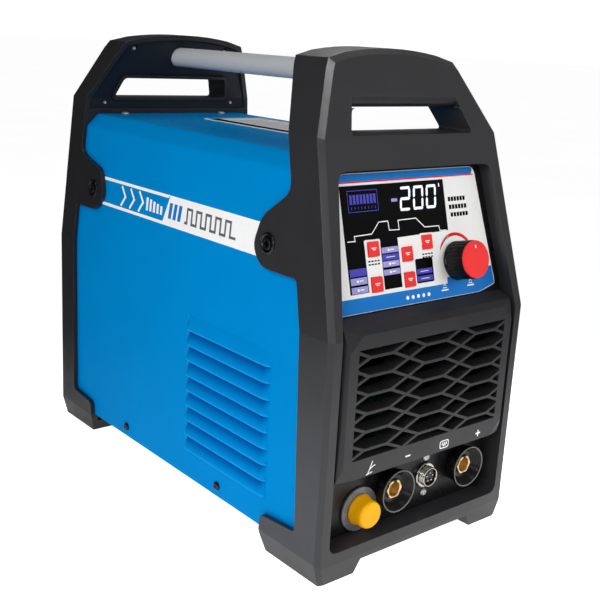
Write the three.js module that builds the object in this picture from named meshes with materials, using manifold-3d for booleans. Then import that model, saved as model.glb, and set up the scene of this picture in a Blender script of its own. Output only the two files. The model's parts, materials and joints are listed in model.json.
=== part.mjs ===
// Portable inverter TIG welding machine, free standing, on two moulded end frames.
// Millimetres, +Z up. The front of the machine faces -Y. The origin is on the floor,
// under the middle of the four feet.
import * as THREE from 'three';
import { mergeVertices } from 'three/addons/utils/BufferGeometryUtils.js';
import { ConvexGeometry } from 'three/addons/geometries/ConvexGeometry.js';
import Module from 'manifold-3d';

const wasm = await Module();
wasm.setup();

// ---------------------------------------------------------------- driving dimensions
const LENGTH = 454.6; // front face to rear face of the end frames
const GAP = 0.3; // clearance between neighbouring pieces
const SHEET = 1.2; // steel sheet of cover and base pan
// heights of the bends in the outline of an end frame
const Z_INSTEP = 12.5; // underside of the frame between the feet
const Z_SILL = 20.6;
const Z_MID = 210.2;
const Z_SHOULDER = 360.4;
const Z_TOP = 420;
const CROWN = 8; // rise of the curved top over the corners
// half widths of an end frame at those heights
const W_FLOOR = 111.8;
const W_SILL = 117.3;
const W_MID = 116.6;
const W_SHOULDER = 103.9;
const W_TOP = 73;
// free space between the feet: half width at the instep and at the floor
const FOOT_INNER = { instep: 67.5, floor: 73.5 };
// below this crease the outer face tucks under by the given amount
const TOE = { z: 17.1, tuck: 2 };
const FRAME_WALL = 4.2; // side wall of an end frame over the cover
const EDGE = 4.6; // chamfer round the outer face of an end frame
// how far the outer face has leaned towards the middle of the machine
const FRONT_LEAN = { shoulder: 41.2, top: 70.3, depth: 38.4, taper: 6 };
const REAR_LEAN = { shoulder: 7.1, top: 28.2, depth: 32.1, taper: 6 };
// sheet metal cover
const COVER_SIDE_TOP = { w: 102, z: 331.7 };
const COVER_TOP = { w: 89.7, z: 344 };
const COVER_SETBACK = 28; // outer face of a frame to the edge of the cover
// recess in the front frame and the pieces set into it
const RECESS = { w: 104.5, top: 89.6, zTop: 335, zBottom: 27, corner: 9 };
const FASCIA_DEPTH = 20; // recess floor behind the front face
const FASCIA_WALL = 3;
const PANEL = { z0: 223.5, depth: 16.5, tilt: 14.85, bottom: 94.5, top: 79.9, height: 111.7 };
const OVERLAY_THICK = 1.5;
const BEZEL = { proud: 2.2, w: 97.5, z0: 90.3, z1: 212.9, chamferX: 13, chamferZ: 13, back: 101 };
const GRILLE = { pitch: 63, row: 15.85, flat: 25.2, rib: 2.5, w: 88.3, z: 154, deep: 15 };
// items on the control panel, measured from the middle of its lower edge
const KNOB = { u: 45.4, v: 31, r: 17, capR: 16.3, skirt: 21.2, height: 23.8, shaft: 3 };
const KNOB_FLUTES = 20;
const BUTTON = { w: 11.8, h: 12.2, proud: 1.3, travel: 0.6 };
const BUTTON_AT = [[-51.3, 50.3], [-51.2, 21.5], [-13.5, 42.7], [-13.4, 21.3], [11.2, 50.5]];
const LENS = { u0: -77.5, u1: 37.5, v0: 74.5, v1: 101.5 };
// connectors on the recess floor
const SOCKET = { z: 59, lip: 19.5, foot: 17, floor: 12.6, proud: 13.7, sunk: 6.2 };
const BRASS = { r: 9, bore: 6.4 };
const SOCKET_X = { negative: -20.4, positive: 70.2 };
const PLUG = { x: 25, z: 58, r: 9.2, bore: 7.6, nut: 12, proud: 8, screw: 17.3 };
const GAS = { x: -56, z: 47.7, washer: 20, cap: 12.4, flange: 14.2, bore: 8.2, length: 17 };
// carrying tube
const TUBE = { r: 10, z: 405 };
// hand opening: half widths at heights z0 and mouth; the grip above it hangs down to z1
const HAND = { bottom: 71.3, top: 59.8, z0: 361, z1: 381.5, mouth: 392.8, gripDeep: 13 };
// louvres of the cover sides
const LOUVRE = { count: 9, pitch: 14.8, z: 50, length: 126, y: -88, rise: 4, height: 13.8 };
// side lugs that hold the cover
const LUG_SCREW_Z = 270.5;
const FAN = { x: 0, z: 150, size: 120, depth: 25, screw: 52.5, blades: 7 };
const LABEL = { x0: -2, x1: 74, y0: -62, y1: 122 };

const HALF = LENGTH / 2;

// ---------------------------------------------------------------- geometry helpers
function solid(geometry) {
  const bare = geometry.index ? geometry.clone() : geometry;
  bare.deleteAttribute('normal');
  bare.deleteAttribute('uv');
  const merged = mergeVertices(bare, 1e-4);
  return new wasm.Manifold(new wasm.Mesh({
    numProp: 3,
    vertProperties: new Float32Array(merged.attributes.position.array),
    triVerts: new Uint32Array(merged.index.array),
  }));
}

function union(list) {
  return list.slice(1).reduce((sum, item) => sum.add(item), list[0]);
}

function minus(body, tools) {
  return tools.reduce((rest, tool) => rest.subtract(tool), body);
}

function geometryOf(body) {
  const mesh = body.getMesh();
  const geometry = new THREE.BufferGeometry();
  geometry.setAttribute('position', new THREE.BufferAttribute(new Float32Array(mesh.vertProperties), 3));
  geometry.setIndex(new THREE.BufferAttribute(new Uint32Array(mesh.triVerts), 1));
  const flat = geometry.toNonIndexed();
  flat.computeVertexNormals();
  return flat;
}

function outline(points) {
  return new THREE.Shape(points.map(([a, b]) => new THREE.Vector2(a, b)));
}

function extrude(shape, depth, curveSegments = 4) {
  return new THREE.ExtrudeGeometry(shape, { depth, bevelEnabled: false, curveSegments });
}

// prism whose outline lies in the x-z plane, from y = from to y = to
function alongY(shape, from, to, curveSegments = 4) {
  const geometry = extrude(shape, to - from, curveSegments);
  geometry.rotateX(Math.PI / 2);
  geometry.translate(0, to, 0);
  return solid(geometry);
}

// prism whose outline lies in the y-z plane, from x = from to x = to
function alongX(shape, from, to, curveSegments = 4) {
  const geometry = extrude(shape, to - from, curveSegments);
  const turn = new THREE.Matrix4().makeBasis(
    new THREE.Vector3(0, 1, 0),
    new THREE.Vector3(0, 0, 1),
    new THREE.Vector3(1, 0, 0),
  );
  geometry.applyMatrix4(turn);
  geometry.translate(from, 0, 0);
  return solid(geometry);
}

function alongZ(shape, from, to, curveSegments = 4) {
  const geometry = extrude(shape, to - from, curveSegments);
  geometry.translate(0, 0, from);
  return solid(geometry);
}

function box(x0, x1, y0, y1, z0, z1) {
  const geometry = new THREE.BoxGeometry(x1 - x0, y1 - y0, z1 - z0);
  geometry.translate((x0 + x1) / 2, (y0 + y1) / 2, (z0 + z1) / 2);
  return solid(geometry);
}

// turned body about the local y axis from a closed profile; rows are [radius, y]
function lathe(profile, segments) {
  const twiceArea = profile.reduce((sum, [r, h], i) => {
    const [nextR, nextH] = profile[(i + 1) % profile.length];
    return sum + r * nextH - nextR * h;
  }, 0);
  const rows = twiceArea < 0 ? profile.slice().reverse() : profile;
  return new THREE.LatheGeometry(rows.map(([r, h]) => new THREE.Vector2(r, h)), segments);
}

// turned body about the y axis through (x, z)
function turnedY(profile, x, z, segments = 20) {
  const geometry = lathe(profile, segments);
  geometry.translate(x, 0, z);
  return solid(geometry);
}

// turned body about the local z axis through (x, y); rows are [radius, z]
function turnedZ(profile, x, y, segments = 20) {
  const geometry = lathe(profile, segments);
  geometry.rotateX(Math.PI / 2);
  geometry.translate(x, y, 0);
  return solid(geometry);
}

// turned body about the x axis through (y, z); rows are [radius, x]
function turnedX(profile, y, z, segments = 16) {
  const geometry = lathe(profile, segments);
  geometry.rotateZ(-Math.PI / 2);
  geometry.translate(0, y, z);
  return solid(geometry);
}

// profile of a plain disc or rod, running so that the turned body faces out
function rod(r, a, b) {
  return [[0, a], [r, a], [r, b], [0, b]];
}

function ring(inner, outer, a, b) {
  return [[inner, a], [outer, a], [outer, b], [inner, b], [inner, a]];
}

// polygon moved inwards by a distance; points run anticlockwise
function inset(points, distance) {
  const n = points.length;
  return points.map((point, i) => {
    const before = points[(i + n - 1) % n];
    const after = points[(i + 1) % n];
    const a = new THREE.Vector2(point[0] - before[0], point[1] - before[1]).normalize();
    const b = new THREE.Vector2(after[0] - point[0], after[1] - point[1]).normalize();
    const na = new THREE.Vector2(-a.y, a.x);
    const nb = new THREE.Vector2(-b.y, b.x);
    const reach = distance / (1 + na.dot(nb));
    return [point[0] + (na.x + nb.x) * reach, point[1] + (na.y + nb.y) * reach];
  });
}

function mirrorHalf(half) {
  const left = half.filter(([x]) => x !== 0).map(([x, z]) => [-x, z]).reverse();
  return half.concat(left);
}

// closed outline with each listed corner rounded; rows are [a, b, radius]
function rounded(corners) {
  const shape = new THREE.Shape();
  const n = corners.length;
  corners.forEach(([x, y, radius], i) => {
    const p = new THREE.Vector2(x, y);
    const before = new THREE.Vector2(...corners[(i + n - 1) % n].slice(0, 2));
    const after = new THREE.Vector2(...corners[(i + 1) % n].slice(0, 2));
    const from = before.sub(p).normalize().multiplyScalar(radius).add(p);
    const to = after.sub(p).normalize().multiplyScalar(radius).add(p);
    if (i === 0) shape.moveTo(from.x, from.y);
    else shape.lineTo(from.x, from.y);
    if (radius > 0) shape.quadraticCurveTo(p.x, p.y, to.x, to.y);
  });
  shape.closePath();
  return shape;
}

function rectangle(u0, u1, v0, v1, radius = 0) {
  return rounded([[u0, v0, radius], [u1, v0, radius], [u1, v1, radius], [u0, v1, radius]]);
}

// ---------------------------------------------------------------- materials
function finish(color, roughness, metalness) {
  return new THREE.MeshStandardMaterial({ color, roughness, metalness });
}

const MATERIAL = {
  black: finish(0x2c2c2e, 0.55, 0),
  blue: finish(0x0078c3, 0.35, 0.1),
  white: finish(0xe9eaec, 0.4, 0),
  lens: finish(0x0a0a0c, 0.12, 0),
  red: finish(0xd9222a, 0.4, 0),
  grey: finish(0x6d6f72, 0.6, 0),
  yellow: finish(0xfdbf10, 0.45, 0),
  satin: finish(0x9a9da1, 0.35, 0.7),
  steel: finish(0xb9bcc0, 0.3, 0.9),
  nickel: finish(0xc9c6bd, 0.22, 1),
  brass: finish(0xd9973a, 0.28, 1),
  blackSteel: finish(0x1d1d1f, 0.35, 0.6),
  zinc: finish(0xa7a9ac, 0.45, 0.8),
  rubber: finish(0x171718, 0.85, 0),
  board: finish(0x1f6b3a, 0.6, 0),
  alloy: finish(0xb5b8bb, 0.5, 0.9),
  copper: finish(0xb5652b, 0.35, 1),
  ferrite: finish(0x3b3835, 0.8, 0),
};

const group = new THREE.Group();
group.name = 'tig_welding_machine';

// the control panel leans back; its own x-y plane is the face of the overlay
const panel = new THREE.Group();
const TILT = THREE.MathUtils.degToRad(PANEL.tilt);
panel.rotation.x = Math.PI / 2 - TILT;
panel.position.set(0, -HALF + PANEL.depth, PANEL.z0);
group.add(panel);

function place(name, body, material, parent = group) {
  const mesh = new THREE.Mesh(geometryOf(body), MATERIAL[material]);
  mesh.name = name;
  parent.add(mesh);
  return mesh;
}

// ---------------------------------------------------------------- end frames
// distance of the outer face from the vertical at height z
function leanAt(lean, z) {
  if (z <= Z_MID) return 0;
  if (z <= Z_SHOULDER) return (lean.shoulder * (z - Z_MID)) / (Z_SHOULDER - Z_MID);
  const rate = (lean.top - lean.shoulder) / (Z_TOP - Z_SHOULDER);
  return lean.shoulder + rate * (z - Z_SHOULDER);
}

// half outline of an end frame, bottom to crown, including the eased top corner
function frameHalf() {
  const half = [[W_FLOOR, 0], [W_SILL, Z_SILL], [W_MID, Z_MID], [W_SHOULDER, Z_SHOULDER]];
  const ease = 7;
  half.push([W_TOP + ease * 0.62, Z_TOP - ease * 1.2]);
  half.push([W_TOP - ease * 0.1, Z_TOP - ease * 0.15]);
  const steps = 5;
  for (let i = 1; i <= steps; i += 1) {
    const x = (W_TOP - ease) * (1 - i / steps);
    const t = x / (W_TOP - ease);
    half.push([x, Z_TOP + CROWN - (CROWN - 1.5) * t * t]);
  }
  return half;
}

// solid block of an end frame: leaning outer face with a chamfer all round
function frameBlock(side, lean) {
  const rim = mirrorHalf(frameHalf());
  const face = inset(rim, EDGE);
  const inner = side * (HALF - 130);
  const points = [];
  face.filter(([, z]) => z > TOE.z).forEach(([x, z]) => {
    points.push(new THREE.Vector3(x, side * (HALF - leanAt(lean, z)), z));
  });
  [-1, 1].forEach((hand) => {
    points.push(new THREE.Vector3(hand * (W_SILL - EDGE), side * HALF, TOE.z));
    points.push(new THREE.Vector3(hand * (W_FLOOR - EDGE), side * (HALF - TOE.tuck), 0));
  });
  rim.forEach(([x, z]) => {
    points.push(new THREE.Vector3(x, side * (HALF - leanAt(lean, z) - EDGE * 0.8), z));
    points.push(new THREE.Vector3(x, inner, z));
  });
  return solid(new ConvexGeometry(points));
}

// side view of an end frame with its cover lug and foot; t is measured from the middle
// of the machine towards the outer face
function frameSide(lean, lug, foot) {
  const edge = (z) => HALF - leanAt(lean, z) - lean.depth;
  const high = Z_TOP + CROWN + 4;
  const out = HALF + 5;
  return [
    [out, -1, 0],
    [foot.tip + 4, -1, 0],
    [foot.tip - 1, Z_SILL - 4, 2],
    [foot.tip, foot.z, 5],
    [foot.heel, foot.z + 4, 4],
    [edge(Z_MID), Z_MID, 0],
    [edge(lug.under), lug.under, 4],
    [lug.tip + 12, lug.under, 11],
    [lug.tip, 266, 8],
    [lug.tip + 8, 291, 8],
    [edge(lug.top), lug.top, 10],
    [edge(Z_SHOULDER), Z_SHOULDER, 0],
    [edge(Z_TOP) - lean.taper, Z_TOP, 0],
    [edge(high) - lean.taper, high, 0],
    [out, high, 0],
  ];
}

// cross-section of the cover, outside faces, grown by a margin
function coverSection(grow) {
  const base = W_MID - FRAME_WALL;
  const half = [
    [0, Z_SILL - grow],
    [base + grow, Z_SILL - grow],
    [base + grow, Z_MID],
    [COVER_SIDE_TOP.w + grow, COVER_SIDE_TOP.z + grow * 0.4],
    [COVER_TOP.w + grow * 0.4, COVER_TOP.z + grow],
    [0, COVER_TOP.z + grow],
  ];
  return mirrorHalf(half);
}

// region behind the leaning outer face of a frame, starting at a setback
function behindFace(side, lean, setback) {
  const at = (z) => HALF - leanAt(lean, z) - setback;
  const high = Z_TOP + 20;
  const low = -40;
  const face = [[at(0), low], [at(0), Z_MID], [at(Z_SHOULDER), Z_SHOULDER], [at(high), high]];
  const rows = [[0, low], ...face, [0, high]];
  const points = rows.map(([t, z]) => [side * t, z]);
  return alongX(outline(side > 0 ? points : points.reverse()), -150, 150);
}

function recessCorners(margin) {
  const { w, top, zTop, zBottom, corner } = RECESS;
  return [
    [-w + margin, zBottom + margin, corner],
    [w - margin, zBottom + margin, corner],
    [w - margin, Z_MID, 0],
    [top - margin, zTop - margin, corner],
    [-top + margin, zTop - margin, corner],
    [-w + margin, Z_MID, 0],
  ];
}

// outline of the hand opening up to height z, grown by a margin
function handOutline(z, margin, r) {
  const slope = (HAND.top - HAND.bottom) / (HAND.mouth - HAND.z0);
  const upper = HAND.bottom + slope * (z - HAND.z0) + margin;
  const lower = HAND.bottom + margin;
  return rounded([
    [-lower, HAND.z0 - margin, r],
    [lower, HAND.z0 - margin, r],
    [upper, z + margin, r],
    [-upper, z + margin, r],
  ]);
}

// hand opening of one end frame; the grip over it is rounded towards the outer face
function handOpening(side, lean) {
  const face = (z) => HALF - leanAt(lean, z);
  const steps = 6;
  const curve = [];
  for (let i = 0; i <= steps; i += 1) {
    const a = ((i / steps) * Math.PI) / 2;
    const z = HAND.mouth - (HAND.mouth - HAND.z1) * Math.sin(a);
    curve.push([face(z) - HAND.gripDeep * (1 - Math.cos(a)), z]);
  }
  const out = HALF + 20;
  const rows = [[out, HAND.z1], [out, HAND.mouth], ...curve].map(([t, z]) => [side * t, z]);
  const undercut = alongX(outline(side < 0 ? rows : rows.reverse()), -W_TOP, W_TOP);
  const hole = alongY(handOutline(HAND.z1, 0, 4), -HALF - 10, HALF + 10);
  const mouth = alongY(handOutline(HAND.mouth, 0, 2), -HALF - 10, HALF + 10);
  return hole.add(mouth.intersect(undercut));
}

function endFrame(side, lean, lug, foot) {
  const profile = frameSide(lean, lug, foot).map(([t, z, r]) => [side * t, z, r]);
  const view = alongX(rounded(side > 0 ? profile : profile.reverse()), -130, 130, 5);
  const inside = behindFace(side, lean, COVER_SETBACK - GAP);
  const tunnel = alongY(outline(coverSection(GAP)), -HALF, HALF).intersect(inside);
  const flare = (FOOT_INNER.floor - FOOT_INNER.instep) / Z_INSTEP;
  const below = 5;
  const wide = FOOT_INNER.floor + flare * below;
  const half = [[wide, -below], [FOOT_INNER.instep, Z_INSTEP]];
  const instep = alongY(outline(mirrorHalf(half)), -HALF - 9, HALF + 9);
  const hollow = box(-W_MID + 8, W_MID - 8, -HALF, HALF, Z_INSTEP - 1, 60);
  const underside = inside.intersect(hollow);
  const outer = side < 0 ? [-HALF - 20, -120] : [120, HALF + 20];
  const recess = alongY(rounded(recessCorners(0)), outer[0], outer[1], 4);
  const frame = frameBlock(side, lean).intersect(view);
  return minus(frame, [tunnel, instep, underside, recess, handOpening(side, lean)]);
}

const FRONT_LUG = { tip: 118, under: 249.5, top: 316, screw: 137.5 };
const REAR_LUG = { tip: 138, under: 249.5, top: 304, screw: 160 };
const FRONT_FOOT = { tip: 150, heel: 197, z: 35 };
const REAR_FOOT = { tip: 157, heel: 196, z: 35 };

function span(a, b) {
  return [Math.min(a, b), Math.max(a, b)];
}

// bore and counterbore of the lug screws in both lugs of one frame
function lugScrewHole(side, lug) {
  return union([-1, 1].map((hand) => {
    const y = side * lug.screw;
    const bore = turnedX(rod(3.2, ...span(hand * 95, hand * 130)), y, LUG_SCREW_Z);
    const seat = turnedX(rod(9.6, ...span(hand * 110.4, hand * 130)), y, LUG_SCREW_Z);
    return bore.add(seat);
  }));
}

const TUBE_ENDS = [-HALF + 76, HALF - 34];
const tubeHole = turnedY(rod(TUBE.r + GAP, TUBE_ENDS[0] - GAP, TUBE_ENDS[1] + GAP), 0, TUBE.z, 24);

place('front_frame', minus(endFrame(-1, FRONT_LEAN, FRONT_LUG, FRONT_FOOT), [
  tubeHole,
  lugScrewHole(-1, FRONT_LUG),
]), 'black');

// the rear arch is hollow; a screwed plate closes it towards the cover
const ARCH = { margin: 5, deep: 14, sunk: 1.5, thick: 3 };
function archOutline(margin) {
  const keep = frameHalf().filter(([, z]) => z > COVER_TOP.z);
  const half = [[0, COVER_TOP.z + GAP], [W_SHOULDER + 1.2, COVER_TOP.z + GAP]].concat(keep);
  return inset(mirrorHalf(half), margin);
}

function archSlab(margin, from, to) {
  // slab parallel to the rear face, at a setback from-to behind it
  const block = alongY(outline(archOutline(margin)), 100, HALF + 5);
  const near = behindFace(1, REAR_LEAN, from);
  const far = behindFace(1, REAR_LEAN, to);
  return block.intersect(near).subtract(far);
}

const rearDepth = REAR_LEAN.depth;
const archPocket = archSlab(ARCH.margin, rearDepth - ARCH.deep, 140);
const rearAt = (z) => HALF - leanAt(REAR_LEAN, z);
// wall left standing round the opening inside the hollow arch
const RIM_WALL = 3;
const handRim = alongY(handOutline(HAND.z1, RIM_WALL, 6), 100, HALF)
  .intersect(archSlab(0, rearDepth - 20, rearDepth + 2));
// plate over the hollow of the rear arch, held by four countersunk screws
const PLATE_SCREWS = [[-81, 355.5], [81, 355.5], [-57, 412.5], [57, 412.5]];
const plateFrom = rearDepth - ARCH.sunk - ARCH.thick;
const plateTo = rearDepth - ARCH.sunk;
const screwPits = PLATE_SCREWS.map(([x, z]) => {
  const y = rearAt(z) - plateTo;
  return turnedY([[0, y - 3], [5, y - 3], [2.6, y + 1.6], [2.6, y + 9], [0, y + 9]], x, z, 14);
});
const screwBores = PLATE_SCREWS.map(([x, z]) => {
  const y = rearAt(z) - plateTo;
  return turnedY(rod(2.6, y - 2, y + 9), x, z, 12);
});
place('rear_frame', minus(endFrame(1, REAR_LEAN, REAR_LUG, REAR_FOOT), [
  archPocket.subtract(handRim),
  tubeHole,
  lugScrewHole(1, REAR_LUG),
  ...screwBores,
]), 'black');
const plateWindow = alongY(handOutline(HAND.z1, RIM_WALL + GAP, 6), 100, HALF);
place('rear_arch_plate', minus(archSlab(ARCH.margin + GAP, plateFrom, plateTo), [
  plateWindow,
  tubeHole,
  ...screwPits,
]), 'black');
PLATE_SCREWS.forEach(([x, z], i) => {
  const y = rearAt(z) - plateTo;
  const profile = [[0, y + 0.7], [1.6, y + 0.2], [2.3, y + 1.7], [2.3, y + 8], [0, y + 8]];
  place(`plate_screw_${i + 1}`, turnedY(profile, x, z, 12), 'zinc');
});

place('handle_tube', turnedY(rod(TUBE.r, ...TUBE_ENDS), 0, TUBE.z, 28), 'satin');

// ---------------------------------------------------------------- cover and base pan
function louvreRow(hand) {
  const base = hand * (W_MID - FRAME_WALL);
  const list = [];
  for (let i = 0; i < LOUVRE.count; i += 1) {
    list.push([base, LOUVRE.y, LOUVRE.z + i * LOUVRE.pitch]);
  }
  return list;
}

// upper half of a flattened capsule lying along y: the pressed hood of a louvre
function hood(rise, height, length, [x, y, z]) {
  const r = 8;
  const geometry = new THREE.CapsuleGeometry(r, length - 2 * r, 2, 8);
  geometry.scale(rise / r, 1, height / r);
  geometry.translate(x, y, z);
  return solid(geometry).intersect(box(x - 30, x + 30, y - length, y + length, z, z + height + 2));
}

function coverBody() {
  const outer = alongY(outline(coverSection(0)), -HALF, HALF);
  const inner = alongY(outline(inset(coverSection(0), SHEET)), -HALF - 1, HALF + 1);
  const mouth = W_MID - FRAME_WALL - SHEET;
  const openBottom = box(-mouth, mouth, -HALF - 1, HALF + 1, 0, Z_SILL + 6);
  const ends = behindFace(-1, FRONT_LEAN, COVER_SETBACK).add(behindFace(1, REAR_LEAN, COVER_SETBACK));
  const spots = louvreRow(-1).concat(louvreRow(1));
  const hoods = spots.map((spot) => hood(LOUVRE.rise, LOUVRE.height, LOUVRE.length, spot));
  const hollows = spots.map((spot) => hood(
    LOUVRE.rise - SHEET * 0.8,
    LOUVRE.height - SHEET,
    LOUVRE.length - 2 * SHEET,
    [spot[0], spot[1], spot[2] - 0.01],
  ));
  const shell = minus(outer, [inner, openBottom]).intersect(ends);
  const holes = COVER_SCREWS.map(([x, y, z]) => turnedX(rod(2.4, ...span(x, x * 0.9)), y, z, 12));
  const roof = rod(2.4, COVER_TOP.z - 4, COVER_TOP.z + 4);
  const topHoles = TOP_SCREWS.map(([x, y]) => turnedZ(roof, x, y, 12));
  const lugHoles = [lugBolt(-1, FRONT_LUG, 3), lugBolt(1, REAR_LUG, 3)];
  return minus(shell.add(union(hoods)), hollows.concat(holes, topHoles, lugHoles));
}

function lugBolt(side, lug, r) {
  return union([-1, 1].map((hand) => {
    const profile = rod(r, ...span(hand * 95, hand * 112));
    return turnedX(profile, side * lug.screw, LUG_SCREW_Z, 16);
  }));
}

const SCREW_X = W_MID - FRAME_WALL;
const COVER_SCREWS = [[-SCREW_X, 86, 31], [-SCREW_X, -79, 31], [SCREW_X, 86, 31], [SCREW_X, -79, 31]];
const TOP_SCREWS = [[-62, 181], [62, 181]];
place('cover', coverBody(), 'blue');

// pan head screw lying along x; head outside the sheet
function sideScrew([x, y, z], headR, headT, shank) {
  const s = Math.sign(x);
  const a = x + s * 0.15;
  const top = a + s * headT;
  const head = [[0, a], [headR, a], [headR, a + s * headT * 0.55], [headR * 0.7, top], [0, top]];
  const stem = rod(2, ...span(x - s * shank, a + s * 0.1));
  const cap = turnedX(head, y, z, 16);
  const deep = span(x + s * (headT - 0.5), x + s * (headT + 2));
  const slot = (dy, dz) => box(...deep, y - dy, y + dy, z - dz, z + dz);
  return minus(cap.add(turnedX(stem, y, z, 12)), [slot(1.9, 0.45), slot(0.45, 1.9)]);
}

COVER_SCREWS.forEach((spot, i) => {
  place(`cover_screw_${i + 1}`, sideScrew(spot, 4.1, 2.2, 7), 'blackSteel');
});
TOP_SCREWS.forEach(([x, y], i) => {
  const z = COVER_TOP.z + 0.15;
  const head = turnedZ([[0, z], [4.3, z], [3.9, z + 1.2], [2.4, z + 2], [0, z + 2.1]], x, y, 16);
  const stem = turnedZ(rod(2, z - 9, z + 0.1), x, y, 12);
  place(`top_screw_${i + 1}`, head.add(stem), 'steel');
});

// lug bolt: countersunk washer ring with a hexagon socket in the middle
function lugScrew(side, lug, hand) {
  const y = side * lug.screw;
  const x0 = hand * 110.8;
  const profile = [[0, 0], [9.1, 0], [9.1, 1.6], [7.6, 2.4], [6.4, 1.3], [5.2, 1.3], [5.2, 2.6], [0, 2.6]];
  const rows = profile.map(([r, t]) => [r, x0 + hand * t]);
  const cap = turnedX(rows, y, LUG_SCREW_Z, 18);
  const stem = turnedX(rod(2.6, ...span(x0 - hand * 14, x0 + hand * 0.2)), y, LUG_SCREW_Z, 10);
  const socket = new THREE.CylinderGeometry(3, 3, 3, 6);
  socket.rotateZ(Math.PI / 2);
  socket.translate(x0 + hand * 3, y, LUG_SCREW_Z);
  return cap.add(stem).subtract(solid(socket));
}

[[-1, FRONT_LUG, 'front'], [1, REAR_LUG, 'rear']].forEach(([side, lug, end]) => {
  [[-1, 'left'], [1, 'right']].forEach(([hand, word]) => {
    place(`lug_screw_${end}_${word}`, lugScrew(side, lug, hand), 'blackSteel');
  });
});

// shallow tray that closes the machine from below and carries everything inside
const PAN = { w: 110.6, z: 21, wall: 22, y0: -196, y1: 199 };
function panBody() {
  const t = 1.5;
  const rim = PAN.z + PAN.wall;
  const half = [[0, PAN.z], [PAN.w, PAN.z], [PAN.w, rim], [PAN.w - t, rim], [PAN.w - t, PAN.z + t]];
  const tray = alongY(outline(mirrorHalf(half)), PAN.y0, PAN.y1);
  const slots = [];
  for (let i = 0; i < 8; i += 1) {
    slots.push(alongZ(rectangle(-55, 55, -92 + i * 14, -87 + i * 14, 2), PAN.z - 2, PAN.z + 5, 1));
  }
  const holes = COVER_SCREWS.map(([x, y, z]) => turnedX(rod(2.3, ...span(x * 0.9, x)), y, z, 12));
  return minus(tray, slots.concat(holes));
}
place('base_pan', panBody(), 'zinc');

const labelShape = rectangle(LABEL.x0, LABEL.x1, LABEL.y0, LABEL.y1, 3);
place('top_label', alongZ(labelShape, COVER_TOP.z + 0.1, COVER_TOP.z + 0.5, 3), 'white');

// ---------------------------------------------------------------- front fascia
const TAN = Math.tan(TILT);
const COS = Math.cos(TILT);
const FLOOR_Y = -HALF + FASCIA_DEPTH;
// y of the panel plane moved back by a distance, at height z
function panelY(z, back) {
  return -HALF + PANEL.depth + (z - PANEL.z0) * TAN + back / COS;
}

function fasciaBody() {
  const back = OVERLAY_THICK + GAP / 2;
  const high = RECESS.zTop + 2;
  const step = PANEL.z0 - 1.2;
  const profile = [
    [FLOOR_Y, RECESS.zBottom - 2],
    [FLOOR_Y, step],
    [panelY(step, back), step],
    [panelY(high, back), high],
    [panelY(high, back + FASCIA_WALL), high],
    [panelY(PANEL.z0 + 8, back + FASCIA_WALL), PANEL.z0 + 8],
    [FLOOR_Y + FASCIA_WALL, PANEL.z0 - 2],
    [FLOOR_Y + FASCIA_WALL, RECESS.zBottom - 2],
  ];
  const slab = alongX(outline(profile), -120, 120);
  const body = slab.intersect(alongY(rounded(recessCorners(GAP)), -HALF - 5, -100, 4));
  const intake = box(-90, 90, -HALF, -150, 106, 202);
  const bore = (r, x, z, segments = 24) => turnedY(rod(r, -HALF, -190), x, z, segments);
  const sockets = Object.values(SOCKET_X).map((x) => bore(13, x, SOCKET.z));
  const plug = bore(8, PLUG.x, PLUG.z);
  const plugScrews = [-1, 1].map((s) => bore(2, PLUG.x, PLUG.z + s * PLUG.screw, 10));
  const gas = bore(8.3, GAS.x, GAS.z);
  return minus(body, [intake, plug, gas, ...sockets, ...plugScrews]);
}

// moves a body from panel coordinates to machine coordinates
function fromPanel(body) {
  panel.updateMatrixWorld(true);
  return body.transform([...panel.matrixWorld.elements]);
}

const panelHoles = BUTTON_AT.map(([u, v]) => box(
  u - BUTTON.w / 2 - GAP, u + BUTTON.w / 2 + GAP,
  v - BUTTON.h / 2 - GAP, v + BUTTON.h / 2 + GAP,
  -12, 3,
));
panelHoles.push(turnedZ(rod(4.2, -12, 3), KNOB.u, KNOB.v, 20));
const lensHole = box(LENS.u0 + 4, LENS.u1 - 4, LENS.v0 + 3, LENS.v1 - 3, -12, 0);
place('fascia', minus(fasciaBody(), [...panelHoles, lensHole].map(fromPanel)), 'black');

// raised eight sided bezel with the cooling grille
function bezelBody() {
  const y = -HALF - BEZEL.proud;
  const { w, z0, z1, chamferX: cx, chamferZ: cz, back } = BEZEL;
  const octagon = [[w, z0 + cz], [w, z1 - cz], [w - cx, z1], [w - cx, z0]];
  const points = [];
  [-1, 1].forEach((s) => {
    octagon.forEach(([x, z]) => points.push(new THREE.Vector3(s * x, y, z)));
    points.push(new THREE.Vector3(s * back, y + 4.5, z0 - 1));
    points.push(new THREE.Vector3(s * back, y + 6.5, z1 + 4.5));
    points.push(new THREE.Vector3(s * (back + 0.8), FLOOR_Y - GAP, z0 - 1));
    points.push(new THREE.Vector3(s * (back - 1.5), panelY(PANEL.z0 - 0.6, -0.2), PANEL.z0 - 0.6));
    points.push(new THREE.Vector3(s * (back - 1.5), FLOOR_Y - GAP, PANEL.z0 - 3.2));
  });
  const block = solid(new ConvexGeometry(points));
  const hollow = box(-94, 94, y + GRILLE.deep, 0, z0 + 6, z1 - 3);
  return minus(block, [hollow, grilleCells(y)]);
}

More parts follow.
